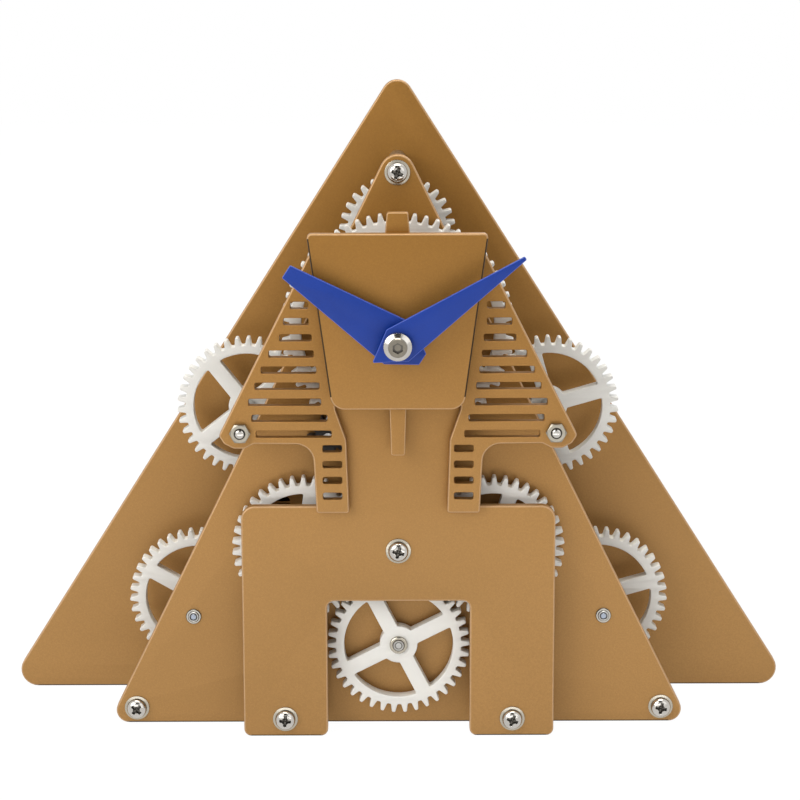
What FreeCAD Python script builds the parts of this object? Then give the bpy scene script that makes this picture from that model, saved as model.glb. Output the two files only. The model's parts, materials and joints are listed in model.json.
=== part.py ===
"""Moving gear desk clock with a sphinx in front of a pyramid.

Millimetres, +Z up, and a viewer on the -Y side. A depth is measured from the front face of the
middle plate towards the viewer. A bearing is measured clockwise from straight up, as the viewer
sees it. The origin is on the floor, under the middle of the whole clock.
"""
import FreeCAD, Part
import math
import os

os.makedirs("parts", exist_ok=True)
Vec = FreeCAD.Vector

# Plates and the bays between them
plate_thick = 3.0
edge_round = 0.6
rear_bay = 30.1
front_bay = 8.8
overrun = 1.0

# Back plate, a pyramid
back_half_base = 116.6
back_height = 183.5
back_corner_round = 5.0
back_apex_round = 4.4

# Middle plate, a steeper pyramid
middle_half_base = 82.7
middle_height = 168.2
middle_corner_round = 3.6
middle_apex_round = 4.8
corner_screw_half = 74.6
corner_screw_height = 4.5

# Body plate with two legs and a neck
body_half_width = 43.4
shoulder_height = 66.5
shoulder_round = 3.8
leg_gap_half = 19.85
leg_gap_height = 39.3
leg_round = 2.0
neck_half_width = 14.6
neck_flare_foot = 84.0
neck_flare_top = 95.0
neck_half_top = 18.4
neck_top = 128.0
neck_screw_height = 53.8
leg_screw_half = 31.8
leg_screw_height = 5.1

# Headdress plate
headdress_top = 138.0
headdress_top_half = 23.2
headdress_foot = 84.7
headdress_foot_half = 48.4
headdress_round = 1.2
lappet_outer = 23.3
lappet_outer_foot = 22.4
lappet_inner = 13.4
lappet_foot = 65.3
lappet_round = 5.0
lappet_foot_round = 0.8
chest_step = 85.9
chest_step_half = 14.1
chest_top = 97.0
chest_top_half = 17.9
corner_lobe_radius = 3.9
# The lobe around each bolt as (x, z, corner radius), from its inner to its outer side, in shares of its radius
lobe_shares = (
    (-0.95, -0.83, 0.4), (-0.3, -1.17, 0.5), (0.45, -1.17, 0.6), (1.12, -0.83, 0.5), (1.5, -0.25, 0.35),
)
slot_height = 2.0
slot_round = 0.5
slot_first = 123.15
slot_pitch = 4.45
slot_step_drop = 0.35
lappet_slot_inner = 15.3
lappet_slot_outer = 20.6
# Where each slot of the wide rows starts and ends, as shares of the headdress's half width
slot_inner_shares = (0.498, 0.498, 0.481, 0.471, 0.457, 0.440, 0.432, 0.397, 0.374)
slot_outer_shares = (0.599, 0.638, 0.661, 0.723, 0.767, 0.804, 0.841, 0.824, 0.800)
lappet_slot_count = 4

# Head core with the cobra tab and the beard
tab_top = 148.7
tab_half_top = 2.85
tab_half_foot = 3.4
tab_foot = 143.0
core_half = 9.0
core_foot = 100.0
beard_half_top = 2.4
beard_half_foot = 1.9
beard_foot = 82.2
core_round = 0.7

# Face plate
face_top = 143.4
face_foot = 95.6
face_half_top = 24.3
face_half_foot = 17.8
face_round_top = 1.2
face_round_foot = 4.0

# Gears: one tooth size for the show train, finer ones for the hand train
show_module = 1.0
cannon_module = 0.5
hour_module = 0.4
pressure_deg = 20.0
addendum_share = 1.0
dedendum_share = 1.35
thinning_share = 0.2
flank_shares = (0.0, 0.35, 0.7, 1.0)
big_teeth = 62
wheel_teeth = 38
transfer_teeth = 38
idler_teeth = 40
top_teeth = 31
pinion_teeth = 10
cannon_teeth = 12
motion_teeth = 36
hour_teeth = 48
gear_width = 4.0
pinion_overlap = 0.3
rim_depth = 2.3
big_rim_depth = 3.1
spoke_width = 4.2
spoke_setback = 0.8
hub_radius = 5.3
big_hub_radius = 9.0
wheel_spokes = 4
big_spokes = 6
top_spoke_bearing = 20
left_side_spoke_bearing = -38
right_side_spoke_bearing = 74
left_low_spoke_bearing = -60
right_low_spoke_bearing = 74
left_mid_spoke_bearing = 8
right_mid_spoke_bearing = 18
bottom_spoke_bearing = 63
hidden_spoke_bearing = 45
rear_gear_setback = 16.2
front_gear_standoff = 1.8

# Where the gear axes stand
bottom_axis_height = 24.8
mid_bearing = 42.9
side_bearing = 25.6
low_bearing = 124.4
wheel_mesh_slack = 0.7
low_mesh_slack = 0.3
hand_axis_rise = 26.7
top_axis_rise = 23.0

# Fits
running_gap = 0.05
seat_gap = 0.02
end_play = 0.3
hole_gap = 0.2

# Arbors, bushes and posts
pivot_radius = 1.5
arbor_radius = 2.0
bush_radius = 1.9
bush_flange_radius = 2.15
bush_flange = 0.6
pivot_stand = 0.3
collar_radius = 2.5
collar_height = 0.9
post_shoulder_radius = 2.6

# Screws, washers, nuts and standoffs
screw_radius = 1.5
head_radius = 2.8
head_height = 2.1
head_crown_share = 0.6
cross_width = 0.9
cross_length = 3.2
cross_depth = 1.1
washer_radius = 3.5
washer_thick = 0.5
standoff_radius = 2.5
screw_reach = 8.0
nut_flats = 5.5
nut_height = 2.4
side_bolt_radius = 1.25
side_nut_flats = 5.0
side_nut_height = 2.0
bolt_stand = 0.6
sleeve_radius = 2.4

# Clock movement
case_width = 40.0
case_height = 40.0
case_depth = 15.0
case_wall = 1.5
case_above_axis = 14.0
case_round = 2.0
bush_thread_radius = 4.0
bush_bore_radius = 2.55
bush_inner_flange = 1.0
bush_inner_flange_radius = 5.5
hub_sleeve_radius = 5.5
bush_nut_flats = 10.0
bush_nut_height = 2.0
bush_end_stand = 0.2
hour_tube_radius = 2.5
minute_arbor_radius = 1.6
hour_wheel_thick = 1.5
motion_arbor_radius = 1.0
motion_pivot_radius = 0.8
motion_wheel_thick = 1.5
cannon_length = 2.5
wheel_gap = 0.5
motion_bearing = 216.0
stem_bearing = 324.0
stem_radius = 1.5
knob_radius = 6.0
knob_length = 6.0
knob_flutes = 12
knob_flute_radius = 1.0
step_motor_width = 13.0
step_motor_height = 10.5
step_motor_depth = 10.0

# Hands and the knurled nut that holds them
hand_thick = 1.0
hand_boss_height = 1.0
hour_hand_clear = 2.2
hands_apart = 2.0
hour_boss_radius = 4.0
minute_boss_radius = 3.0
hour_length = 35.3
hour_half_tip = 2.0
hour_half_wide = 6.7
hour_half_tail = 1.75
minute_length = 41.0
minute_half_tip = 0.5
minute_half_wide = 5.2
minute_half_tail = 0.2
hand_tail = 7.9
hour_hand_bearing = -56.7
minute_hand_bearing = 55.4
hand_nut_radius = 3.9
hand_nut_height = 4.2
hand_nut_step = 1.2
hand_nut_step_radius = 2.5
nut_socket_flats = 2.6
nut_socket_depth = 1.6
knurl_count = 36
knurl_radius = 0.28

# Gearmotor of the show train
motor_width = 30.0
motor_height = 26.5
motor_depth = 15.0
motor_round = 2.0
motor_side_clear = 0.3
motor_arbor_inset = 15.6
motor_screw_radius = 1.0
motor_screw_head_radius = 1.9
motor_screw_head_height = 1.2
motor_screw_inset = 2.8
motor_screw_reach = 6.0

# Battery box on the back plate
cell_radius = 7.1
cell_length = 49.5
cell_tip_radius = 2.7
cell_tip_length = 1.2
cell_gap = 0.4
box_wall = 1.6
box_height_above_floor = 8.0
contact_room = 3.5
contact_thick = 0.5
contact_width = 9.0
door_thick = 1.5
door_groove = 0.8
door_gap = 0.15
door_grip_count = 5
door_grip_width = 1.0
door_grip_pitch = 2.4
door_grip_height = 0.5
door_grip_inset = 6.0
switch_bay = 8.0
switch_slot_length = 8.0
switch_slot_width = 3.0
switch_travel = 3.0
switch_knob_stand = 1.5

# Depths of the plates, from the middle plate's front face towards the viewer
middle_back = -plate_thick
back_front = middle_back - rear_bay
back_back = back_front - plate_thick
body_back = front_bay
body_front = body_back + plate_thick
headdress_front = body_front + plate_thick
core_front = headdress_front + plate_thick
face_front = core_front + plate_thick
rear_gear_front = middle_back - rear_gear_setback
rear_gear_back = rear_gear_front - gear_width
front_gear_back = front_gear_standoff
front_gear_front = front_gear_back + gear_width
bush_nut_front = face_front + bush_nut_height
hour_hand_back = bush_nut_front + hour_hand_clear
hour_hand_front = hour_hand_back + hand_thick
minute_hand_back = hour_hand_front + hands_apart
minute_hand_front = minute_hand_back + hand_thick
hand_nut_front = minute_hand_front + hand_nut_height
box_depth = 2 * cell_radius + cell_gap + box_wall + door_thick + door_groove
box_back = back_back - box_depth

# The whole clock is centred on Y = 0
depth_centre = (hand_nut_front + box_back - door_grip_height) / 2


def y_at(depth):
    """Y of a depth that is measured towards the viewer."""
    return depth_centre - depth


def off(point, distance, bearing):
    """The point that lies a distance away on a bearing."""
    angle = math.radians(bearing)
    return (point[0] + distance * math.sin(angle), point[1] + distance * math.cos(angle))


def mirrored(point):
    return (-point[0], point[1])


def bearing_of(start, end):
    return math.degrees(math.atan2(end[0] - start[0], end[1] - start[1]))


def meeting_point(first, first_radius, second, second_radius):
    """The lower right or left point where two circles cross, on the first circle's clockwise side."""
    apart = math.dist(first, second)
    along = (first_radius ** 2 - second_radius ** 2 + apart ** 2) / (2 * apart)
    across = math.sqrt(first_radius ** 2 - along ** 2)
    foot = off(first, along, bearing_of(first, second))
    return off(foot, across, bearing_of(first, second) - 90)


def mesh_distance(teeth_a, teeth_b, module=show_module):
    return module * (teeth_a + teeth_b) / 2


# Axes of the gears, as (x, z)
bottom_axis = (0, bottom_axis_height)
right_mid_axis = off(bottom_axis, mesh_distance(wheel_teeth, wheel_teeth) + wheel_mesh_slack, mid_bearing)
transfer_distance = mesh_distance(transfer_teeth, wheel_teeth)
right_side_axis = off(right_mid_axis, transfer_distance + wheel_mesh_slack, side_bearing)
right_low_axis = off(right_mid_axis, transfer_distance + low_mesh_slack, low_bearing)
left_mid_axis = mirrored(right_mid_axis)
left_side_axis = mirrored(right_side_axis)
left_low_axis = mirrored(right_low_axis)
hand_axis = (0, right_side_axis[1] + hand_axis_rise)
top_axis = (0, hand_axis[1] + top_axis_rise)
drive_axis = meeting_point(hand_axis, mesh_distance(big_teeth, pinion_teeth),
                           left_side_axis, mesh_distance(wheel_teeth, pinion_teeth))
idler_axis = meeting_point(right_side_axis, mesh_distance(wheel_teeth, idler_teeth),
                           top_axis, mesh_distance(top_teeth, idler_teeth))
motion_axis = off(hand_axis, mesh_distance(cannon_teeth, motion_teeth, cannon_module), motion_bearing)
stem_axis = off(motion_axis, mesh_distance(cannon_teeth, motion_teeth, cannon_module), stem_bearing)


def apex_centre(half_base, height, radius):
    """Centre of a pyramid's rounded top."""
    return (0, height - radius / math.sin(math.atan2(half_base, height)))


right_corner_screw = (corner_screw_half, corner_screw_height)
apex_screw = apex_centre(middle_half_base, middle_height, middle_apex_round)
middle_screws = (mirrored(right_corner_screw), right_corner_screw, apex_screw)
body_screws = ((-leg_screw_half, leg_screw_height), (leg_screw_half, leg_screw_height), (0, neck_screw_height))
side_axes = (left_side_axis, right_side_axis)
plate_arbor_axes = (left_mid_axis, right_mid_axis, left_low_axis, right_low_axis, bottom_axis, top_axis)


def disc(point, radius, back, front):
    """A round bar along the depth."""
    return Part.makeCylinder(radius, front - back, Vec(point[0], y_at(front), point[1]), Vec(0, 1, 0))


def tube(point, outer, inner, back, front):
    return disc(point, outer, back, front).cut(disc(point, inner, back - overrun, front + overrun))


def bored(solid, points, radius):
    """The solid with a round hole right through it at each point."""
    box = solid.BoundBox
    for point in points:
        start = Vec(point[0], box.YMin - overrun, point[1])
        solid = solid.cut(Part.makeCylinder(radius, box.YLength + 2 * overrun, start, Vec(0, 1, 0)))
    return solid


def rounded_face(corners, depth):
    """A flat face at a depth through corners given as (x, z, corner radius)."""
    y = y_at(depth)
    edges = []
    ends = []
    count = len(corners)
    for index, (x, z, radius) in enumerate(corners):
        before = corners[index - 1]
        after = corners[(index + 1) % count]
        corner = Vec(x, y, z)
        to_before = Vec(before[0], y, before[1]).sub(corner).normalize()
        to_after = Vec(after[0], y, after[1]).sub(corner).normalize()
        if radius == 0:
            ends.append((corner, corner, None))
            continue
        half_angle = to_before.getAngle(to_after) / 2
        reach = radius / math.tan(half_angle)
        middle = to_before.add(to_after).normalize()
        centre = corner.add(middle.multiply(radius / math.sin(half_angle)))
        inward = corner.sub(centre).normalize()
        ends.append((corner.add(to_before.multiply(reach)), corner.add(to_after.multiply(reach)),
                     centre.add(inward.multiply(radius))))
    for index, (start, end, through) in enumerate(ends):
        if through is not None:
            edges.append(Part.Arc(start, through, end).toShape())
        edges.append(Part.LineSegment(end, ends[(index + 1) % count][0]).toShape())
    return Part.Face(Part.Wire(edges))


def slab(corners, back, front):
    """A plate of the outline between two depths."""
    return rounded_face(corners, front).extrude(Vec(0, front - back, 0))


def block(x_low, x_high, z_low, z_high, back, front, radius=0):
    corners = [(x_low, z_low, radius), (x_high, z_low, radius), (x_high, z_high, radius), (x_low, z_high, radius)]
    return slab(corners, back, front)


def soften(solid, depths):
    """Rounds the outer rim edges of a plate at the given depths."""
    rims = [y_at(depth) for depth in depths]
    near = edge_round / 10
    edges = []
    for edge in solid.Edges:
        box = edge.BoundBox
        flat = box.YLength < near
        if flat and any(abs(box.YMin - rim) < near for rim in rims):
            edges.append(edge)
    return solid.makeFillet(edge_round, edges)


def hexagon(point, flats, back, front, turn=30):
    """A six sided bar with a corner at the given bearing."""
    corner = flats / math.sqrt(3)
    corners = [off(point, corner, turn + 60 * side) + (0,) for side in range(6)]
    return slab(corners, back, front)


def save(shape, name):
    if shape.ShapeType == "Compound" and len(shape.Solids) == 1:
        shape = shape.Solids[0]
    shape.exportStep(f"parts/{name}.step")


def save_group(solids, name):
    Part.makeCompound([solid for shape in solids for solid in shape.Solids]).exportStep(f"parts/{name}.step")


# Gears

def involute(angle):
    return math.tan(angle) - angle


def tooth_half_angle(radius, teeth, module):
    """Half the angle that a tooth takes up at a radius, thinned for backlash."""
    pressure = math.radians(pressure_deg)
    pitch_radius = module * teeth / 2
    base_radius = pitch_radius * math.cos(pressure)
    at_pitch = (math.pi / 2 - thinning_share) * module / (2 * pitch_radius)
    spread = involute(math.acos(base_radius / radius)) if radius > base_radius else 0
    return at_pitch + involute(pressure) - spread


def toothed_disc(point, teeth, phase, back, front, module=show_module):
    """A disc with involute teeth. The phase is the bearing of the middle of one tooth."""
    root_radius = module * (teeth / 2 - dedendum_share)
    tip_radius = module * (teeth / 2 + addendum_share)
    radii = [root_radius + share * (tip_radius - root_radius) for share in flank_shares]
    halves = [math.degrees(tooth_half_angle(radius, teeth, module)) for radius in radii]
    corners = []
    for tooth in range(teeth):
        middle = phase + 360 * tooth / teeth
        rising = [off(point, radius, middle - half) for radius, half in zip(radii, halves)]
        falling = [off(point, radius, middle + half) for radius, half in zip(radii, halves)]
        corners += rising + falling[::-1]
    y = y_at(front)
    points = [Vec(x, y, z) for x, z in corners]
    face = Part.Face(Part.makePolygon(points + points[:1]))
    return face.extrude(Vec(0, front - back, 0))


def spoked_wheel(point, teeth, phase, spoke_bearing, back, front, bore, rim=rim_depth, hub=hub_radius,
                 spokes=wheel_spokes, setback=spoke_setback):
    """A toothed rim, a round hub and straight spokes that lie a little behind the rim's front face."""
    rim_radius = show_module * (teeth / 2 - dedendum_share) - rim
    wheel = toothed_disc(point, teeth, phase, back, front)
    if setback > 0:
        wheel = wheel.cut(tube(point, rim_radius, hub, front - setback, front + overrun))
    windows = tube(point, rim_radius, hub, back - overrun, front + overrun)
    for spoke in range(spokes):
        bearing = spoke_bearing + 360 * spoke / spokes
        corners = [off(off(point, reach, bearing), side, bearing + 90) + (0,)
                   for reach, side in ((0, -spoke_width / 2), (rim_radius + overrun, -spoke_width / 2),
                                       (rim_radius + overrun, spoke_width / 2), (0, spoke_width / 2))]
        windows = windows.cut(slab(corners, back - 2 * overrun, front + 2 * overrun))
    return bored(wheel.cut(windows), [point], bore)


def meshed_phase(driver, driver_teeth, driver_phase, driven, driven_teeth):
    """The tooth bearing that puts the driven gear in mesh with its driver."""
    line = bearing_of(driver, driven)
    driver_share = (driver_teeth * (line - driver_phase) / 360) % 1
    return line + 180 - (0.5 - driver_share) * 360 / driven_teeth


big_phase = 180 / big_teeth
drive_phase = meshed_phase(hand_axis, big_teeth, big_phase, drive_axis, pinion_teeth)
left_side_phase = meshed_phase(drive_axis, pinion_teeth, drive_phase, left_side_axis, wheel_teeth)
left_transfer_phase = meshed_phase(left_side_axis, wheel_teeth, left_side_phase, left_mid_axis, transfer_teeth)
left_low_phase = meshed_phase(left_mid_axis, transfer_teeth, left_transfer_phase, left_low_axis, wheel_teeth)
left_mid_phase = 0
bottom_phase = meshed_phase(left_mid_axis, wheel_teeth, left_mid_phase, bottom_axis, wheel_teeth)
right_mid_phase = meshed_phase(bottom_axis, wheel_teeth, bottom_phase, right_mid_axis, wheel_teeth)
right_transfer_phase = 0
right_low_phase = meshed_phase(right_mid_axis, transfer_teeth, right_transfer_phase, right_low_axis, wheel_teeth)
right_side_phase = meshed_phase(right_mid_axis, transfer_teeth, right_transfer_phase, right_side_axis, wheel_teeth)
idler_phase = meshed_phase(right_side_axis, wheel_teeth, right_side_phase, idler_axis, idler_teeth)
top_phase = meshed_phase(idler_axis, idler_teeth, idler_phase, top_axis, top_teeth)
cannon_phase = 0
motion_phase = meshed_phase(hand_axis, cannon_teeth, cannon_phase, motion_axis, motion_teeth)
stem_phase = meshed_phase(motion_axis, motion_teeth, motion_phase, stem_axis, cannon_teeth)
motion_pinion_phase = 0
hour_phase = meshed_phase(motion_axis, cannon_teeth, motion_pinion_phase, hand_axis, hour_teeth)


def make_gears():
    rear = (rear_gear_back, rear_gear_front)
    front = (front_gear_back, front_gear_front)
    fixed_bore = arbor_radius + seat_gap
    pivot_bore = pivot_radius + seat_gap
    bolt_bore = side_bolt_radius + running_gap
    wheels = (
        ("top_gear", top_axis, top_teeth, top_phase, top_spoke_bearing, rear, fixed_bore),
        ("left_side_gear", left_side_axis, wheel_teeth, left_side_phase, left_side_spoke_bearing, rear, bolt_bore),
        ("right_side_gear", right_side_axis, wheel_teeth, right_side_phase, right_side_spoke_bearing, rear,
         bolt_bore),
        ("left_low_gear", left_low_axis, wheel_teeth, left_low_phase, left_low_spoke_bearing, rear, fixed_bore),
        ("right_low_gear", right_low_axis, wheel_teeth, right_low_phase, right_low_spoke_bearing, rear,
         fixed_bore),
        ("left_transfer_gear", left_mid_axis, transfer_teeth, left_transfer_phase, hidden_spoke_bearing, rear,
         fixed_bore),
        ("right_transfer_gear", right_mid_axis, transfer_teeth, right_transfer_phase, hidden_spoke_bearing, rear,
         fixed_bore),
        ("left_mid_gear", left_mid_axis, wheel_teeth, left_mid_phase, left_mid_spoke_bearing, front, pivot_bore),
        ("right_mid_gear", right_mid_axis, wheel_teeth, right_mid_phase, right_mid_spoke_bearing, front,
         pivot_bore),
    )
    for name, axis, teeth, phase, spoke_bearing, (back, front_face), bore in wheels:
        save(spoked_wheel(axis, teeth, phase, spoke_bearing, back, front_face, bore), name)
    save(spoked_wheel(bottom_axis, wheel_teeth, bottom_phase, bottom_spoke_bearing, *front, pivot_bore,
                      setback=0), "bottom_gear")

    big = spoked_wheel(hand_axis, big_teeth, big_phase, 0, *front, hub_sleeve_radius + running_gap,
                       rim=big_rim_depth, hub=big_hub_radius, spokes=big_spokes)
    hub = tube(hand_axis, big_hub_radius, hub_sleeve_radius + running_gap, end_play, front_bay - end_play)
    save(big.fuse(hub).removeSplitter(), "big_gear")

    idler = spoked_wheel(idler_axis, idler_teeth, idler_phase, hidden_spoke_bearing, *rear,
                         pivot_radius + running_gap)
    idler_hub = tube(idler_axis, hub_radius, pivot_radius + running_gap, rear_gear_back, idler_hub_front)
    save(idler.fuse(idler_hub).removeSplitter(), "idler_gear")

    pinion_bore = pivot_radius + seat_gap
    pinions = [bored(toothed_disc(drive_axis, pinion_teeth, drive_phase, back - pinion_overlap,
                                  face + pinion_overlap), [drive_axis], pinion_bore)
               for back, face in (rear, front)]
    save_group(pinions, "drive_pinions")


# Arbors run in bushes in the back and middle plates, between two shoulders
bay_back = back_front + bush_flange + end_play
bay_front = middle_back - end_play
rear_pivot_end = back_back + pivot_stand
front_pivot_end = bush_flange + pivot_stand
front_gear_pivot_end = front_gear_front + collar_height + pivot_stand
mid_pivot_end = front_gear_front + pivot_stand
case_back = middle_back - case_depth
idler_hub_front = case_back - end_play


def arbor(point, front_end):
    pivot = disc(point, pivot_radius, rear_pivot_end, front_end)
    return pivot.fuse(disc(point, arbor_radius, bay_back, bay_front)).removeSplitter()


def bush(point, plate_back, plate_front, flange_back, flange_front):
    sleeve = disc(point, bush_radius, plate_back, plate_front)
    flange = disc(point, bush_flange_radius, flange_back, flange_front)
    return bored(sleeve.fuse(flange).removeSplitter(), [point], pivot_radius + running_gap)


def make_arbors():
    save(arbor(left_mid_axis, mid_pivot_end), "left_mid_arbor")
    save(arbor(right_mid_axis, mid_pivot_end), "right_mid_arbor")
    save(arbor(left_low_axis, front_pivot_end), "left_low_arbor")
    save(arbor(right_low_axis, front_pivot_end), "right_low_arbor")
    save(arbor(bottom_axis, front_gear_pivot_end), "bottom_arbor")
    save(arbor(top_axis, front_pivot_end), "top_arbor")
    save(tube(bottom_axis, collar_radius, pivot_radius + seat_gap, front_gear_front,
              front_gear_front + collar_height), "bottom_gear_collar")
    save(disc(drive_axis, pivot_radius, rear_gear_back - pinion_overlap, front_gear_front + pinion_overlap),
         "drive_arbor")
    post = disc(idler_axis, pivot_radius, back_back, idler_hub_front)
    shoulder = disc(idler_axis, post_shoulder_radius, back_front, rear_gear_back - end_play)
    save(post.fuse(shoulder).removeSplitter(), "idler_post")
    bushes = []
    for axis in plate_arbor_axes:
        bushes.append(bush(axis, back_back, back_front, back_front, back_front + bush_flange))
        bushes.append(bush(axis, middle_back, 0, 0, bush_flange))
    save_group(bushes, "arbor_bushes")


# Plates

def triangle(half_base, height, corner_radius, apex_radius):
    return [(-half_base, 0, corner_radius), (half_base, 0, corner_radius), (0, height, apex_radius)]


def mirrored_corners(right_half):
    return [(-x, z, radius) for x, z, radius in reversed(right_half)]


def make_back_plate():
    plate = slab(triangle(back_half_base, back_height, back_corner_round, back_apex_round), back_back, back_front)
    plate = soften(plate, (back_back, back_front))
    plate = bored(plate, plate_arbor_axes, bush_radius + seat_gap)
    plate = bored(plate, middle_screws, screw_radius + hole_gap)
    plate = bored(plate, side_axes, side_bolt_radius + hole_gap)
    plate = bored(plate, [idler_axis], pivot_radius + seat_gap)
    plate = bored(plate, box_screw_points, motor_screw_radius + hole_gap)
    plate = bored(plate, [stem_axis], stem_radius + hole_gap)
    save(plate, "back_plate")


def make_middle_plate():
    plate = slab(triangle(middle_half_base, middle_height, middle_corner_round, middle_apex_round),
                 middle_back, 0)
    plate = soften(plate, (middle_back, 0))
    plate = bored(plate, plate_arbor_axes, bush_radius + seat_gap)
    plate = bored(plate, side_axes, sleeve_radius + hole_gap)
    plate = bored(plate, middle_screws + body_screws, screw_radius + hole_gap)
    plate = bored(plate, [hand_axis], bush_thread_radius + running_gap)
    plate = bored(plate, [drive_axis], pivot_radius + hole_gap)
    plate = bored(plate, motor_screw_points, motor_screw_radius + hole_gap)
    for point in motor_screw_points:
        plate = plate.cut(disc(point, motor_screw_head_radius + hole_gap, -motor_screw_head_height, overrun))
    save(plate, "middle_plate")


def make_body_plate():
    right = [
        (leg_gap_half, leg_gap_height, leg_round),
        (leg_gap_half, 0, leg_round),
        (body_half_width, 0, leg_round),
        (body_half_width, shoulder_height, shoulder_round),
        (neck_half_width, shoulder_height, leg_round),
        (neck_half_width, neck_flare_foot, leg_round),
        (neck_half_top, neck_flare_top, leg_round),
        (neck_half_top, neck_top, leg_round),
    ]
    plate = slab(right + mirrored_corners(right), body_back, body_front)
    plate = soften(plate, (body_back, body_front))
    plate = bored(plate, body_screws, screw_radius + hole_gap)
    save(bored(plate, [hand_axis], bush_thread_radius + running_gap), "body_plate")


def lobe_corners():
    """The rounded corner of the headdress around its bolt, from its inner to its outer side."""
    bolt_x, bolt_z = right_side_axis
    return [(bolt_x + x * corner_lobe_radius, bolt_z + z * corner_lobe_radius, radius * corner_lobe_radius)
            for x, z, radius in lobe_shares]


def slot_rows():
    """The openings of the right half, as (x low, x high, centre height)."""
    rows = []
    for row, (inner, outer) in enumerate(zip(slot_inner_shares, slot_outer_shares)):
        rows.append((inner * headdress_foot_half, outer * headdress_foot_half, slot_first - row * slot_pitch))
    last = rows[-1][2] + slot_step_drop
    for row in range(lappet_slot_count):
        rows.append((lappet_slot_inner, lappet_slot_outer, last - (row + 1) * slot_pitch))
    return rows


def make_headdress_plate():
    right = [
        (chest_top_half, chest_top, leg_round),
        (chest_step_half, chest_step, leg_round),
        (lappet_inner, lappet_foot, lappet_foot_round),
        (lappet_outer_foot, lappet_foot, lappet_foot_round),
        (lappet_outer, headdress_foot, lappet_round),
    ] + lobe_corners() + [(headdress_top_half, headdress_top, headdress_round)]
    plate = slab(right + mirrored_corners(right), body_front, headdress_front)
    plate = soften(plate, (headdress_front,))
    for x_low, x_high, z in slot_rows():
        for low, high in ((x_low, x_high), (-x_high, -x_low)):
            plate = plate.cut(block(low, high, z - slot_height / 2, z + slot_height / 2,
                                    body_front - overrun, headdress_front + overrun, slot_round))
    plate = bored(plate, side_axes, side_bolt_radius + hole_gap)
    save(bored(plate, [hand_axis], bush_thread_radius + running_gap), "headdress_plate")


def make_head():
    right = [
        (beard_half_foot, beard_foot, core_round),
        (beard_half_top, core_foot, core_round),
        (core_half, core_foot, core_round),
        (core_half, tab_foot - core_round, core_round),
        (tab_half_foot, tab_foot - core_round, core_round),
        (tab_half_top, tab_top, core_round),
    ]
    core = slab(right + mirrored_corners(right), headdress_front, core_front)
    save(bored(core, [hand_axis], bush_thread_radius + running_gap), "head_core")
    right = [(face_half_foot, face_foot, face_round_foot), (face_half_top, face_top, face_round_top)]
    face = soften(slab(right + mirrored_corners(right), core_front, face_front), (face_front,))
    save(bored(face, [hand_axis], bush_thread_radius + running_gap), "face_plate")


# Screws, nuts and standoffs

def cross_recess(point, back, front):
    flat = block(point[0] - cross_length / 2, point[0] + cross_length / 2,
                 point[1] - cross_width / 2, point[1] + cross_width / 2, back, front)
    upright = block(point[0] - cross_width / 2, point[0] + cross_width / 2,
                    point[1] - cross_length / 2, point[1] + cross_length / 2, back, front)
    return flat.fuse(upright)


def pan_screw(point, seat, length, facing=1, radius=screw_radius):
    """A pan head screw. Its head stands on the seat depth and faces the viewer, or away from them at -1."""
    low, high = sorted((seat, seat + facing * head_height))
    head = disc(point, head_radius, low, high)
    crown = y_at(seat + facing * head_height)
    rim = [edge for edge in head.Edges if abs(edge.BoundBox.YMin - crown) < seat_gap
           and edge.BoundBox.YLength < seat_gap and edge.BoundBox.XLength > head_radius]
    head = head.makeFillet(head_crown_share * head_height, rim)
    low, high = sorted((seat + facing * (head_height - cross_depth), seat + facing * (head_height + overrun)))
    head = head.cut(cross_recess(point, low, high))
    low, high = sorted((seat, seat - facing * length))
    return head.fuse(disc(point, radius, low, high)).removeSplitter()


def make_fasteners():
    save_group([pan_screw(point, washer_thick, washer_thick + plate_thick + screw_reach)
                for point in middle_screws], "middle_plate_screws")
    body_length = washer_thick + 2 * plate_thick + front_bay + nut_height + bolt_stand
    save_group([pan_screw(point, body_front + washer_thick, body_length) for point in body_screws],
               "body_plate_screws")
    washers = [tube(point, washer_radius, screw_radius + hole_gap, 0, washer_thick) for point in middle_screws]
    washers += [tube(point, washer_radius, screw_radius + hole_gap, body_front, body_front + washer_thick)
                for point in body_screws]
    save_group(washers, "screw_washers")
    save_group([pan_screw(point, back_back, plate_thick + screw_reach, -1) for point in middle_screws],
               "rear_screws")
    save_group([bored(hexagon(point, nut_flats, middle_back - nut_height, middle_back), [point],
                      screw_radius + seat_gap) for point in body_screws], "body_screw_nuts")
    save_group([tube(point, standoff_radius, screw_radius + seat_gap, back_front, middle_back)
                for point in middle_screws], "rear_standoffs")
    save_group([tube(point, standoff_radius, screw_radius + seat_gap, 0, body_back)
                for point in body_screws], "body_standoffs")


def make_side_bolts():
    bolt_end = headdress_front + side_nut_height + bolt_stand
    save_group([pan_screw(point, back_back, bolt_end - back_back, -1, side_bolt_radius) for point in side_axes],
               "side_bolts")
    bore = side_bolt_radius + seat_gap
    save_group([bored(hexagon(point, side_nut_flats, headdress_front, headdress_front + side_nut_height), [point],
                      bore) for point in side_axes], "side_nuts")
    sleeves = []
    for point in side_axes:
        sleeves.append(tube(point, sleeve_radius, bore, back_front, rear_gear_back - end_play))
        sleeves.append(tube(point, sleeve_radius, bore, rear_gear_front + end_play, body_front))
    save_group(sleeves, "side_bolt_sleeves")


# Clock movement

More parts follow.
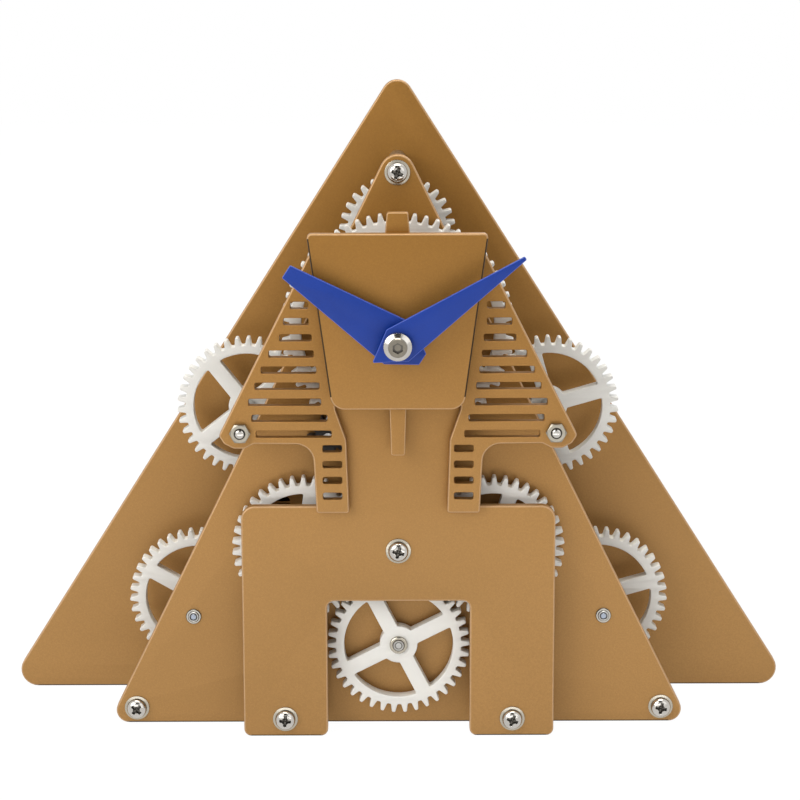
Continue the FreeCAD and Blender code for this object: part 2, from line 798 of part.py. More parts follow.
case_low = hand_axis[1] + case_above_axis - case_height
case_high = hand_axis[1] + case_above_axis
case_inside_back = case_back + case_wall
case_inside_front = middle_back - case_wall
hour_wheel_front = case_inside_front - bush_inner_flange - wheel_gap
hour_wheel_back = hour_wheel_front - hour_wheel_thick
cannon_front = hour_wheel_back - wheel_gap
cannon_back = cannon_front - cannon_length
motion_wheel_front = cannon_front - wheel_gap
motion_wheel_back = motion_wheel_front - motion_wheel_thick
bush_end = bush_nut_front + bush_end_stand
hour_tube_end = hour_hand_front + bush_end_stand
minute_arbor_end = minute_hand_front + hand_nut_height - nut_socket_depth - bush_end_stand
knob_front = back_back - end_play
knob_back = knob_front - knob_length


def make_movement():
    half = case_width / 2
    shell = block(-half, half, case_low, case_high, case_inside_back, middle_back, case_round)
    hollow = block(-half + case_wall, half - case_wall, case_low + case_wall, case_high - case_wall,
                   case_inside_back - overrun, case_inside_front, case_round - case_wall)
    shell = bored(shell.cut(hollow), [hand_axis], bush_thread_radius + seat_gap)
    save(bored(shell, [motion_axis], motion_pivot_radius + running_gap), "movement_case")
    lid = block(-half, half, case_low, case_high, case_back, case_inside_back, case_round)
    lid = bored(lid, [hand_axis, motion_axis], motion_pivot_radius + running_gap)
    save(bored(lid, [stem_axis], stem_radius + running_gap), "movement_lid")

    thread = disc(hand_axis, bush_thread_radius, case_inside_front, bush_end)
    flange = disc(hand_axis, bush_inner_flange_radius, case_inside_front - bush_inner_flange, case_inside_front)
    save(bored(thread.fuse(flange).removeSplitter(), [hand_axis], bush_bore_radius), "movement_bush")
    save(tube(hand_axis, hub_sleeve_radius, bush_thread_radius + running_gap, 0, body_back), "hub_sleeve")
    save(bored(hexagon(hand_axis, bush_nut_flats, face_front, bush_nut_front), [hand_axis],
               bush_thread_radius + seat_gap), "bush_nut")

    wheel = toothed_disc(hand_axis, hour_teeth, hour_phase, hour_wheel_back, hour_wheel_front, hour_module)
    pipe = disc(hand_axis, hour_tube_radius, hour_wheel_back, hour_tube_end)
    save(bored(wheel.fuse(pipe).removeSplitter(), [hand_axis], minute_arbor_radius + running_gap), "hour_wheel")

    cannon = toothed_disc(hand_axis, cannon_teeth, cannon_phase, cannon_back, cannon_front, cannon_module)
    spindle = disc(hand_axis, minute_arbor_radius, cannon_back, minute_arbor_end)
    pivot = disc(hand_axis, motion_pivot_radius, case_back, cannon_back)
    save(cannon.fuse(spindle).fuse(pivot).removeSplitter(), "minute_arbor")

    wheel = toothed_disc(motion_axis, motion_teeth, motion_phase, motion_wheel_back, motion_wheel_front,
                         cannon_module)
    pinion = toothed_disc(motion_axis, cannon_teeth, motion_pinion_phase, motion_wheel_front,
                          hour_wheel_front, hour_module)
    spindle = disc(motion_axis, motion_arbor_radius, case_inside_back + end_play, case_inside_front - end_play)
    pivots = disc(motion_axis, motion_pivot_radius, case_back, middle_back)
    save(wheel.fuse(pinion).fuse(spindle).fuse(pivots).removeSplitter(), "motion_wheel")

    right = half - case_wall - end_play
    low = case_low + case_wall + end_play
    save(block(right - step_motor_width, right, low, low + step_motor_height, case_inside_back,
               case_inside_back + step_motor_depth), "step_motor")

    stem = disc(stem_axis, stem_radius, knob_back, cannon_front)
    pinion = toothed_disc(stem_axis, cannon_teeth, stem_phase, cannon_back, cannon_front, cannon_module)
    knob = disc(stem_axis, knob_radius, knob_back, knob_front)
    for flute in range(knob_flutes):
        knob = knob.cut(disc(off(stem_axis, knob_radius, 360 * flute / knob_flutes), knob_flute_radius,
                             knob_back - overrun, knob_front + overrun))
    save(stem.fuse(pinion).fuse(knob).removeSplitter(), "setting_knob")


# Hands

def hand(length, half_tip, half_wide, half_tail, bearing, back, bore, boss_radius):
    """A flat hand that tapers both ways from its axis, with a round boss behind it."""
    outline = ((length, half_tip), (0, half_wide), (-hand_tail, half_tail))
    corners = [off(off(hand_axis, reach, bearing), side, bearing + 90) + (0,) for reach, side in outline]
    corners += [off(off(hand_axis, reach, bearing), -side, bearing + 90) + (0,) for reach, side in outline[::-1]]
    blade = slab(corners, back, back + hand_thick)
    boss = disc(hand_axis, boss_radius, back - hand_boss_height, back)
    return bored(blade.fuse(boss), [hand_axis], bore)


def make_hands():
    save(hand(hour_length, hour_half_tip, hour_half_wide, hour_half_tail, hour_hand_bearing, hour_hand_back,
              hour_tube_radius + seat_gap, hour_boss_radius), "hour_hand")
    save(hand(minute_length, minute_half_tip, minute_half_wide, minute_half_tail, minute_hand_bearing,
              minute_hand_back, minute_arbor_radius + seat_gap, minute_boss_radius), "minute_hand")
    knurled = disc(hand_axis, hand_nut_radius, minute_hand_front, hand_nut_front - hand_nut_step)
    for groove in range(knurl_count):
        knurled = knurled.cut(disc(off(hand_axis, hand_nut_radius, 360 * groove / knurl_count), knurl_radius,
                                   minute_hand_front - overrun, hand_nut_front))
    step = disc(hand_axis, hand_nut_step_radius, hand_nut_front - hand_nut_step, hand_nut_front)
    nut = bored(knurled.fuse(step).removeSplitter(), [hand_axis], minute_arbor_radius + seat_gap)
    save(nut.cut(hexagon(hand_axis, nut_socket_flats + 2 * seat_gap, hand_nut_front - nut_socket_depth,
                         hand_nut_front + overrun, turn=0)), "hand_nut")


# Gearmotor behind the middle plate, under the movement
motor_left = drive_axis[0] - motor_arbor_inset
motor_right = motor_left + motor_width
motor_top = case_low - motor_side_clear
motor_bottom = motor_top - motor_height
motor_screw_points = ((motor_left + motor_screw_inset, motor_bottom + motor_screw_inset),
                      (motor_right - motor_screw_inset, motor_bottom + motor_screw_inset))


def make_motor():
    motor = block(motor_left, motor_right, motor_bottom, motor_top, middle_back - motor_depth, middle_back,
                  motor_round)
    motor = bored(motor, [drive_axis], pivot_radius + running_gap)
    for point in motor_screw_points:
        motor = motor.cut(disc(point, motor_screw_radius + seat_gap, middle_back - motor_screw_reach,
                               middle_back + overrun))
    save(motor, "gearmotor")
    screws = []
    for point in motor_screw_points:
        head = disc(point, motor_screw_head_radius, -motor_screw_head_height, 0)
        shank = disc(point, motor_screw_radius, middle_back - motor_screw_reach, -motor_screw_head_height)
        slot = block(point[0] - motor_screw_head_radius, point[0] + motor_screw_head_radius,
                     point[1] - motor_screw_radius / 4, point[1] + motor_screw_radius / 4,
                     -motor_screw_head_height / 2, overrun)
        screws.append(head.fuse(shank).removeSplitter().cut(slot))
    save_group(screws, "gearmotor_screws")


# Battery box on the rear of the back plate, with its door sliding out to the right
cell_room_length = cell_length + cell_tip_length + contact_room
box_inside_left = -(cell_room_length + switch_bay) / 2
box_inside_right = box_inside_left + cell_room_length
box_left = box_inside_left - box_wall
box_right = box_inside_right + box_wall + switch_bay
box_inside_low = box_height_above_floor + box_wall
box_inside_high = box_inside_low + 4 * cell_radius + 3 * cell_gap
box_low = box_height_above_floor
box_high = box_inside_high + box_wall
box_floor = back_back - box_wall
cell_depth = box_floor - cell_gap / 2 - cell_radius
door_front = box_back + door_thick + door_groove
door_back = box_back + door_groove
cell_rows = (box_inside_low + cell_gap + cell_radius, box_inside_high - cell_gap - cell_radius)
box_screw_points = ((box_inside_left + cell_room_length / 4, (cell_rows[0] + cell_rows[1]) / 2),
                    (box_inside_right - cell_room_length / 4, (cell_rows[0] + cell_rows[1]) / 2))
switch_x = box_inside_right + box_wall + switch_bay / 2 - box_wall / 2
switch_z = (box_low + box_high) / 2
switch_inner = (switch_bay - box_wall) / 2 - door_gap


def bar(x_low, x_high, z, depth, radius):
    return Part.makeCylinder(radius, x_high - x_low, Vec(x_low, y_at(depth), z), Vec(1, 0, 0))


def make_battery_box():
    box = block(box_left, box_right, box_low, box_high, box_back, back_back, box_wall)
    room = block(box_inside_left, box_inside_right, box_inside_low, box_inside_high, door_front, box_floor)
    groove = block(box_inside_left - box_wall / 2, box_right + overrun, box_inside_low - box_wall / 2,
                   box_inside_high + box_wall / 2, door_back - door_gap, door_front)
    mouth = block(box_inside_left, box_right + overrun, box_inside_low, box_inside_high,
                  box_back - overrun, door_back)
    pocket = block(box_inside_right + box_wall, box_right - box_wall, box_inside_low, box_inside_high,
                   door_front + door_thick, box_floor)
    slot = block(box_right - box_wall - overrun, box_right + overrun, switch_z - switch_slot_length / 2,
                 switch_z + switch_slot_length / 2, cell_depth - switch_slot_width / 2,
                 cell_depth + switch_slot_width / 2)
    box = box.cut(room).cut(groove).cut(mouth).cut(pocket).cut(slot)
    save(bored(box, box_screw_points, motor_screw_radius + hole_gap), "battery_box")

    door = block(box_inside_left - box_wall / 2 + door_gap, box_right, box_inside_low - box_wall / 2 + door_gap,
                 box_inside_high + box_wall / 2 - door_gap, door_back, door_front - door_gap)
    raised = block(box_inside_left + door_gap, box_right, box_inside_low + door_gap, box_inside_high - door_gap,
                   box_back, door_back)
    door = door.fuse(raised).removeSplitter()
    for grip in range(door_grip_count):
        x = box_right - door_grip_inset - grip * door_grip_pitch
        door = door.fuse(block(x - door_grip_width, x, box_inside_low + door_grip_inset,
                               box_inside_high - door_grip_inset, box_back - door_grip_height, box_back))
    save(door.removeSplitter(), "battery_door")

    cells = []
    contacts = []
    for z, side in zip(cell_rows, (1, -1)):
        middle = (box_inside_left + box_inside_right) / 2
        end = (cell_length + cell_tip_length) / 2
        start = middle - end if side > 0 else middle - end + cell_tip_length
        can = bar(start, start + cell_length, z, cell_depth, cell_radius)
        tip_start = start + cell_length if side > 0 else start - cell_tip_length
        cells.append(can.fuse(bar(tip_start, tip_start + cell_tip_length, z, cell_depth, cell_tip_radius)))
        for x in (box_inside_left, box_inside_right - contact_thick):
            contacts.append(block(x, x + contact_thick, z - contact_width / 2, z + contact_width / 2,
                                  cell_depth - contact_width / 2, box_floor))
        for x_low, x_high in ((box_inside_left + contact_thick, middle - end),
                              (middle + end, box_inside_right - contact_thick)):
            coil = bar(x_low, x_high, z, cell_depth, cell_tip_radius)
            contacts.append(coil.cut(bar(x_low - overrun, x_high + overrun, z, cell_depth,
                                         cell_tip_radius - contact_thick)))
    save_group(cells, "battery_cells")
    save_group(contacts, "battery_contacts")

    screws = []
    for point in box_screw_points:
        head = disc(point, motor_screw_head_radius, box_floor - cell_gap, box_floor)
        screws.append(head.fuse(disc(point, motor_screw_radius, box_floor, back_front)).removeSplitter())
    save_group(screws, "battery_box_screws")

    slider_low = switch_z - switch_slot_length / 2 + door_gap
    slider_high = switch_z + switch_slot_length / 2 - door_gap - switch_travel
    wide = block(box_right - box_wall - switch_inner, box_right - box_wall - door_gap, slider_low, slider_high,
                 cell_depth - switch_slot_width, cell_depth + switch_slot_width)
    stalk = block(box_right - box_wall - door_gap, box_right + switch_knob_stand, slider_low, slider_high,
                  cell_depth - switch_slot_width / 2 + door_gap, cell_depth + switch_slot_width / 2 - door_gap)
    save(wide.fuse(stalk).removeSplitter(), "battery_switch")


make_back_plate()
make_middle_plate()
make_body_plate()
make_headdress_plate()
make_head()
make_gears()
make_arbors()
make_fasteners()
make_side_bolts()
make_movement()
make_hands()
make_motor()
make_battery_box()
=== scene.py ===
import json
import math

import bmesh
import bpy
import numpy as np
from mathutils import Euler, Matrix, Vector
from mathutils.geometry import tessellate_polygon


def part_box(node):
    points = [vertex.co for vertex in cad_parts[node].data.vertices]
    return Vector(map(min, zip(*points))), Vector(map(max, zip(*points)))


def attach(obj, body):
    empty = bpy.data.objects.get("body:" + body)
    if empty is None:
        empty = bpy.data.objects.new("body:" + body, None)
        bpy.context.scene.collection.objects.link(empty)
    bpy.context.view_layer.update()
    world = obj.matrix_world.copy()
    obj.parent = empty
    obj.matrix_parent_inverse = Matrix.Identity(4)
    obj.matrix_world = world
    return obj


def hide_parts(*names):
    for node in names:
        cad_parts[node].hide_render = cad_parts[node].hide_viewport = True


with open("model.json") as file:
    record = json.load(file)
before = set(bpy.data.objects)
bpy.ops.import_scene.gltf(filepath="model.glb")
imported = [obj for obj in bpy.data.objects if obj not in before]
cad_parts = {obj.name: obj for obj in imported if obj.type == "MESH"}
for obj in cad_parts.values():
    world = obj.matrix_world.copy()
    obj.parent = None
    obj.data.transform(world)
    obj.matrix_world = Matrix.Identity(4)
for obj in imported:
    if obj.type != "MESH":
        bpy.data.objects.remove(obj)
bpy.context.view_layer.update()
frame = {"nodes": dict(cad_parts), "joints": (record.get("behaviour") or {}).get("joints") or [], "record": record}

bl_info = {
    "name": "Gear clock",
    "version": (1, 0, 0),
    "blender": (4, 5, 0),
    "location": "3D View > Sidebar > Gear clock",
    "description": "Dresses the gear clock with rounded gears, screws, hands and finishes",
    "category": "Add Mesh",
}

MM = 0.001
TURN = 2 * math.pi

ARBORS = ("left_mid", "right_mid", "left_low", "right_low", "bottom", "top")


# Where things stand, read from the frame, in millimetres

def sides(node):
    """Where a node's left, right, foot, top, back and front are. Its front faces the viewer, at -Y."""
    low, high = (np.array(corner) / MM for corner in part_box(node))
    return low[0], high[0], low[2], high[2], high[1], low[1]


def depth_span(node):
    """The Y of a node's back and of its front."""
    return sides(node)[4:]


def joint_axis(body):
    """The point (x, z) that a turning body turns about."""
    for joint in frame["joints"]:
        if joint["child"] == body:
            return np.array([joint["pos_m"][0], joint["pos_m"][2]]) / MM
    raise ValueError(f"no joint turns {body}")


def node_points(node):
    """All the corners of a node's mesh as one array in millimetres."""
    mesh = frame["nodes"][node].data
    points = np.empty(len(mesh.vertices) * 3)
    mesh.vertices.foreach_get("co", points)
    return points.reshape(-1, 3) / MM


def tooth_bearing(node, axis, teeth, tip):
    """The bearing of one tooth's middle: the mean direction of the tips, counted in whole teeth."""
    points = node_points(node)
    across = points[:, 0] - axis[0]
    up = points[:, 2] - axis[1]
    at_tip = np.hypot(across, up) > tip - 0.05
    counted = np.exp(1j * teeth * np.arctan2(across[at_tip], up[at_tip]))
    return np.angle(counted.sum()) / teeth


def group_centres(node, count):
    """The middles (x, z) of the like pieces of a group. All points within 8 mm of a piece's first point are
    its own."""
    left = node_points(node)[:, [0, 2]]
    middles = []
    while len(left) and len(middles) < count:
        near = np.hypot(*(left - left[0]).T) < 8.0
        middles.append((left[near].min(0) + left[near].max(0)) / 2)
        left = left[~near]
    if len(middles) != count:
        raise ValueError(f"{node} has {len(middles)} pieces")
    return middles


# Outlines, as closed rows of (x, z) points

def off(point, distance, bearing):
    """The point a distance away on a bearing in radians, measured clockwise from straight up."""
    return np.array(point) + distance * np.array([math.sin(bearing), math.cos(bearing)])


def rounded(corners, steps=4):
    """A closed outline through corners (x, z, radius). Each corner becomes an arc that touches both of its
    sides: the arc's centre lies on the corner's bisector, radius / sin(half angle) away."""
    table = np.array(corners, float)
    points = table[:, :2]
    radii = table[:, 2]
    before = np.roll(points, 1, axis=0) - points
    after = np.roll(points, -1, axis=0) - points
    before /= np.linalg.norm(before, axis=1, keepdims=True)
    after /= np.linalg.norm(after, axis=1, keepdims=True)
    half = np.arccos(np.clip((before * after).sum(1), -1, 1)) / 2
    middle = before + after
    middle /= np.maximum(np.linalg.norm(middle, axis=1, keepdims=True), 1e-9)
    centre = points + middle * (radii / np.sin(half))[:, None]
    reach = (radii / np.tan(half))[:, None]
    start = points + before * reach - centre
    end = points + after * reach - centre
    sweep = math.pi - 2 * half
    share = np.linspace(0, 1, steps)[None, :, None]
    wide = np.maximum(sweep, 1e-6)[:, None, None]
    arcs = np.sin((1 - share) * wide) * start[:, None, :] + np.sin(share * wide) * end[:, None, :]
    return (arcs / np.sin(wide) + centre[:, None, :]).reshape(-1, 2)


def bearings(count):
    """Evenly spaced bearings, once round."""
    return np.arange(count) * TURN / count


def circle(point, radius, count=64):
    """A closed circle: the point plus radius times (sin, cos) of evenly spaced bearings."""
    bearing = bearings(count)
    return np.array(point) + radius * np.stack([np.sin(bearing), np.cos(bearing)], 1)


def signed_area(outline):
    """Half the sum of neighbouring points' cross products, above 0 when they run anticlockwise."""
    x, z = outline.T
    return 0.5 * (x * np.roll(z, -1) - z * np.roll(x, -1)).sum()


def moved_in(outline, inset):
    """The outline moved to its left by inset: every point goes along the sum of its two side normals,
    divided by one plus their cosine."""
    ahead = np.roll(outline, -1, axis=0) - outline
    ahead /= np.maximum(np.linalg.norm(ahead, axis=1, keepdims=True), 1e-9)
    normal = np.stack([-ahead[:, 1], ahead[:, 0]], 1)
    before = np.roll(normal, 1, axis=0)
    share = 1 + (normal * before).sum(1, keepdims=True)
    return outline + inset * (normal + before) / np.maximum(share, 0.4)


# Surfaces. A shape is (points, faces, which faces are curved, which finish each face takes)

def grid_faces(rows, columns, first=0):
    """The quads of a grid whose columns close on themselves."""
    row = np.arange(rows - 1)[:, None] * columns
    column = np.arange(columns)[None, :]
    following = (column + 1) % columns
    quads = np.stack([row + column, row + following, row + columns + following, row + columns + column], -1)
    return (quads.reshape(-1, 4) + first).tolist()


def rim_section(back, front, edge, steps):
    """How far in and at which Y each ring of a rim lies: two quarter circles joined by a straight side."""
    if not edge:
        return [(0, back), (0, front)]
    angle = np.linspace(0, math.pi / 2, steps + 1)
    inset = edge * (1 - np.sin(angle))
    rise = math.copysign(edge, front - back) * (1 - np.cos(angle))
    return list(zip(inset, back + rise)) + list(zip(inset[::-1], front - rise[::-1]))


def slab(outlines, back, front, edge, steps=3, opening_edge=None):
    """A flat plate: its rims are the outlines carried along a section of two quarter circles, and its two
    flat faces fill the innermost rings. The first outline is the outer one, the others are openings, which
    may have a smaller edge of their own. The rounded rows of the larger edge take the second finish."""
    outer = rim_section(back, front, edge, steps)
    inner = outer if opening_edge is None else rim_section(back, front, opening_edge, 1)
    points = []
    faces = []
    tones = []
    caps = ([], [])
    first = 0
    for index, outline in enumerate(outlines):
        section = inner if index else outer
        if (signed_area(outline) > 0) == (index > 0):
            outline = outline[::-1]
        rings = [moved_in(outline, inset) for inset, _ in section]
        points += [np.stack([ring[:, 0], np.full(len(ring), y), ring[:, 1]], 1)
                   for ring, (_, y) in zip(rings, section)]
        faces += grid_faces(len(section), len(outline), first)
        curved_rows = np.diff([inset for inset, _ in section]) != 0
        tones += np.repeat(curved_rows & (section is outer), len(outline)).astype(int).tolist()
        caps[0].append((first, rings[0]))
        caps[1].append((first + (len(section) - 1) * len(outline), rings[-1]))
        first += len(section) * len(outline)
    curved = [True] * len(faces)
    for cap in caps:
        order = np.concatenate([start + np.arange(len(ring)) for start, ring in cap])
        filled = tessellate_polygon([[Vector((x, z, 0)) for x, z in ring] for _, ring in cap])
        faces += [[int(order[i]) for i in face] for face in filled]
        curved += [False] * len(filled)
        tones += [0] * len(filled)
    return np.concatenate(points), faces, curved, tones


def turned(point, profile, count=64, step_tones=()):
    """A surface of revolution about the depth axis: every profile row (radius, y), each one number or an
    array over the bearings, is carried round. Pairs (step, tone) give steps between rows another finish."""
    bearing = bearings(count)
    rows = [np.stack([point[0] + radius * np.sin(bearing), np.broadcast_to(y, (count,)),
                      point[1] + radius * np.cos(bearing)], 1) for radius, y in profile]
    faces = grid_faces(len(rows), count)
    tone_of = dict(step_tones)
    tones = [tone_of.get(number // count, 0) for number in range(len(faces))]
    return np.concatenate(rows), faces, [True] * len(faces), tones


def joined(shapes):
    """Several shapes as one."""
    faces = []
    curved = []
    tones = []
    first = 0
    for shape_points, shape_faces, shape_curved, shape_tones in shapes:
        faces += [[corner + first for corner in face] for face in shape_faces]
        curved += shape_curved
        tones += shape_tones
        first += len(shape_points)
    return np.concatenate([shape[0] for shape in shapes]), faces, curved, tones


def piece(name, shape, body, nodes, finishes, sharp=32.0, slot=None):
    """Makes a shape's object: doubles merged, faces turned outwards, corners above the angle kept sharp. Its
    slot, its first finish unless another is given, is worked out but not used."""
    points, faces, curved, tones = shape
    slot = slot or finishes[0]
    mesh = bpy.data.meshes.new(name)
    mesh.from_pydata((points * MM).tolist(), [], faces)
    mesh.polygons.foreach_set("use_smooth", curved)
    mesh.polygons.foreach_set("material_index", [min(tone, len(finishes) - 1) for tone in tones])
    work = bmesh.new()
    work.from_mesh(mesh)
    bmesh.ops.remove_doubles(work, verts=work.verts, dist=2e-7)
    bmesh.ops.dissolve_degenerate(work, edges=work.edges, dist=1e-8)
    bmesh.ops.recalc_face_normals(work, faces=work.faces)
    work.to_mesh(mesh)
    work.free()
    mesh.set_sharp_from_angle(angle=math.radians(sharp))
    made = bpy.data.objects.new(name, mesh)
    bpy.context.scene.collection.objects.link(made)
    for finish in finishes:
        made.data.materials.append(FINISHES[finish])
    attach(made, body)
    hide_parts(*nodes)


# Finishes

class Field:
    """One shader value, colour or vector that can be used in sums."""

    def __init__(self, shader, socket):
        self.shader = shader
        self.socket = socket

    def _math(self, operation, *values):
        return self.shader.node("ShaderNodeMath", {"operation": operation}, dict(enumerate(values)))

    def __add__(self, other):
        return self._math("ADD", self, other)

    def __radd__(self, other):
        return self._math("ADD", other, self)

    def __rsub__(self, other):
        return self._math("SUBTRACT", other, self)

    def __mul__(self, other):
        return self._math("MULTIPLY", self, other)

    def __rmul__(self, other):
        return self._math("MULTIPLY", other, self)

    def larger(self, other):
        """The larger of two values."""
        return self._math("MAXIMUM", self, other)

    def step(self, low, high):
        """A smooth rise from 0 at low to 1 at high."""
        return self.shader.node("ShaderNodeMapRange", {"interpolation_type": "SMOOTHSTEP"},
                                {"Value": self, "From Min": low, "From Max": high})

    def band(self, low, high):
        """The value moved from 0..1 to low..high."""
        return self.shader.node("ShaderNodeMapRange", {}, {"Value": self, "To Min": low, "To Max": high})


class Shader:
    """The nodes of a material or a world, with one method that adds any node."""

    def __init__(self, owner):
        owner.use_nodes = True
        self.tree = owner.node_tree

    def node(self, kind, settings, inputs, output=None):
        """Adds a node: its settings first, then the values or links of its sockets. Gives one output, the
        first that is in use unless one is named."""
        made = self.tree.nodes.new(kind)
        for key, value in settings.items():
            setattr(made, key, value)
        for key, value in inputs.items():
            self.feed(made, key, value)
        if output:
            return Field(self, made.outputs[output])
        return Field(self, next(socket for socket in made.outputs if socket.enabled))

    def feed(self, node, key, value):
        """Links a field to a node's socket, given by its number or name, or sets the socket's value."""
        if isinstance(key, int):
            socket = node.inputs[key]
        else:
            socket = next(socket for socket in node.inputs if socket.name == key and socket.enabled)
        if isinstance(value, Field):
            self.tree.links.new(value.socket, socket)
        else:
            socket.default_value = value


class Finish(Shader):
    """A material of one Principled surface, from the values that are the same all over it."""

    def __init__(self, name, constants):
        self.material = bpy.data.materials.new(name)
        super().__init__(self.material)
        self.surface = self.tree.nodes["Principled BSDF"]
        for key, value in constants.items():
            self.set(key, value)
        self.place = self.node("ShaderNodeTexCoord", {}, {}, "Object")

    def set(self, name, value):
        """Gives the surface a value or a field."""
        self.feed(self.surface, name, value)

    def noise(self, size, detail=2.0, rough=0.5, stretch=None):
        """Noise of a grain size in millimetres, about 0 to 1, finer along an axis by its stretch."""
        place = self.place
        if stretch:
            place = self.node("ShaderNodeVectorMath", {"operation": "MULTIPLY"}, {0: place, 1: stretch})
        inputs = {"Vector": place, "Scale": 1 / (size * MM), "Detail": detail, "Roughness": rough}
        return self.node("ShaderNodeTexNoise", {}, inputs, "Fac")

    def cells(self, size):
        """The distance to the nearest of scattered points, in cells of a size in millimetres."""
        inputs = {"Vector": self.place, "Scale": 1 / (size * MM)}
        return self.node("ShaderNodeTexVoronoi", {}, inputs, "Distance")

    def axis(self, name):
        """The object's X, Y or Z in millimetres."""
        return self.node("ShaderNodeSeparateXYZ", {}, {"Vector": self.place}, name) * (1 / MM)

    def mix(self, share, first, second, blend="MIX"):
        """A colour between two, by a share of 0 to 1."""
        return self.node("ShaderNodeMix", {"data_type": "RGBA", "blend_type": blend},
                         {"Factor": share, "A": first, "B": second})

    def bump(self, height, distance):
        """A relief of a height of 0 to 1, distance millimetres deep."""
        self.set("Normal", self.node("ShaderNodeBump", {}, {"Height": height, "Distance": distance * MM}))


def shade(colour, factor, white=0.0):
    """The colour times a factor, with a little white added."""
    return tuple(min(1.0, value * factor + white) for value in colour[:3]) + (1.0,)


def plate_paint(name, colour, depth=1.0):
    """Satin metallic paint: fine bright flakes, a soft cloudy change of tone and a faint orange peel. The
    colour deepens a little from the foot upwards, by a share of depth: a painted shade on the upper part."""
    finish = Finish(name, {"Metallic": 0.45, "IOR": 1.4})
    # Painted shade: rise runs from 0 at the foot to 1 at the top, and by it the colour is darkened upwards
    rise = finish.axis("Z").step(30.0, 150.0) * depth
    cloud = finish.noise(60.0, 3.0)
    grain = finish.noise(0.55, 2.0, 0.6)
    flake = 1 - finish.cells(0.42).step(0.08, 0.32)
    tone = finish.mix(cloud.step(0.3, 0.7), shade(colour, 0.97), shade(colour, 1.03))
    tone = finish.mix(grain.step(0.35, 0.65), finish.mix(0.55, tone, shade(colour, 0.86)), tone)
    tone = finish.mix(flake * 0.35, tone, shade(colour, 1.45))
    # Painted shade: the darker, warmer tint that the upper part is multiplied by
    tint = finish.mix(rise, (1.0, 1.0, 1.0, 1.0), (0.83, 0.73, 0.42, 1.0))
    finish.set("Base Color", finish.mix(1.0, tone, tint, "MULTIPLY"))
    finish.set("Roughness", grain.band(0.36, 0.52))
    finish.bump(grain * 0.6 + finish.noise(2.2) * 0.4, 0.02)
    return finish.material


def moulded_plastic(name, colour, rough, mottle, depth):
    """Moulded plastic: a slight mottle, a fine texture and a little gloss."""
    finish = Finish(name, {"IOR": 1.47})
    cloud = finish.noise(14.0, 3.0)
    grain = finish.noise(0.5)
    tone = finish.mix(cloud.step(0.3, 0.7), shade(colour, 1 - mottle), shade(colour, 1 + mottle * 0.4))
    finish.set("Base Color", tone)
    finish.set("Roughness", grain.band(rough - 0.06, rough + 0.08))
    finish.bump(grain * 0.5 + cloud * 0.5, depth)
    return finish.material


def bare_metal(name, colour, rough):
    """Plated or turned metal: faint scratches and handling marks in its gloss."""
    finish = Finish(name, {"Metallic": 1.0})
    smudge = finish.noise(2.4, 4.0, 0.6)
    scratch = finish.noise(0.6, stretch=(6.0, 1.0, 1.0))
    tone = finish.mix(smudge.step(0.35, 0.75) * 0.35, colour, shade(colour, 0.72))
    finish.set("Base Color", tone)
    finish.set("Roughness", (smudge * 0.6 + scratch * 0.4).band(rough * 0.75, rough * 1.45))
    finish.bump(scratch, 0.004)
    return finish.material


def hand_paint(name, colour):
    """Satin enamel on thin sheet: an even colour with a fine speckle."""
    finish = Finish(name, {"IOR": 1.38})
    grain = finish.noise(0.4)
    cloud = finish.noise(12.0)
    tone = finish.mix(cloud.step(0.3, 0.7), shade(colour, 0.94), shade(colour, 1.06))
    tone = finish.mix(grain.step(0.3, 0.7) * 0.3, tone, shade(colour, 1.25))
    finish.set("Base Color", tone)
    finish.set("Roughness", grain.band(0.38, 0.5))
    finish.bump(grain, 0.012)
    return finish.material


def cell_wrap(name, colour):
    """The printed sleeve of a cell: a dark body with a copper coloured band at one end."""
    finish = Finish(name, {"IOR": 1.5, "Coat Weight": 0.4, "Coat Roughness": 0.15})
    band = finish.axis("X").step(9.0, 9.3)
    grain = finish.noise(3.0)
    finish.set("Base Color", finish.mix(band, colour, (0.55, 0.25, 0.08, 1.0)))
    finish.set("Roughness", grain.band(0.25, 0.35))
    return finish.material


FINISHES = {}


# What a user would change

def colour_prop(name, words, default):
    """A colour of the sidebar."""
    return bpy.props.FloatVectorProperty(name=name, description=words, default=default, subtype="COLOR",
                                         size=4, min=0.0, max=1.0)


def length_prop(name, words, millimetres):
    """A length of the sidebar."""
    return bpy.props.FloatProperty(name=name, description=words, default=millimetres * MM, min=0.0,
                                   subtype="DISTANCE", unit="LENGTH", precision=5)


class ClockColours(bpy.types.PropertyGroup):
    """Colours of the paints, plastics and metals"""
    plate: colour_prop("Plates", "Paint of the plates", (0.39, 0.21, 0.068, 1.0))
    gear: colour_prop("Gears", "Plastic of the gears", (0.83, 0.82, 0.78, 1.0))
    hand: colour_prop("Hands", "Enamel of the hands", (0.004, 0.036, 0.28, 1.0))
    steel: colour_prop("Plated steel", "Screws, washers, nuts and the hand nut", (0.54, 0.515, 0.475, 1.0))
    arbor: colour_prop("Turned steel", "Arbors, posts and stand-offs", (0.5, 0.49, 0.47, 1.0))
    bush: colour_prop("Bushes", "Bushes and the collar", (0.55, 0.52, 0.46, 1.0))
    brass: colour_prop("Brass", "Brass parts", (0.62, 0.42, 0.16, 1.0))
    black: colour_prop("Black plastic", "Movement, motor and battery box", (0.02, 0.02, 0.021, 1.0))
    dark: colour_prop("Dark plastic", "Pinions and the idler", (0.06, 0.06, 0.062, 1.0))
    wheel: colour_prop("Pale plastic", "The small wheels inside the movement", (0.7, 0.7, 0.68, 1.0))
    cell: colour_prop("Cell sleeve", "Sleeve of the two cells", (0.03, 0.03, 0.035, 1.0))


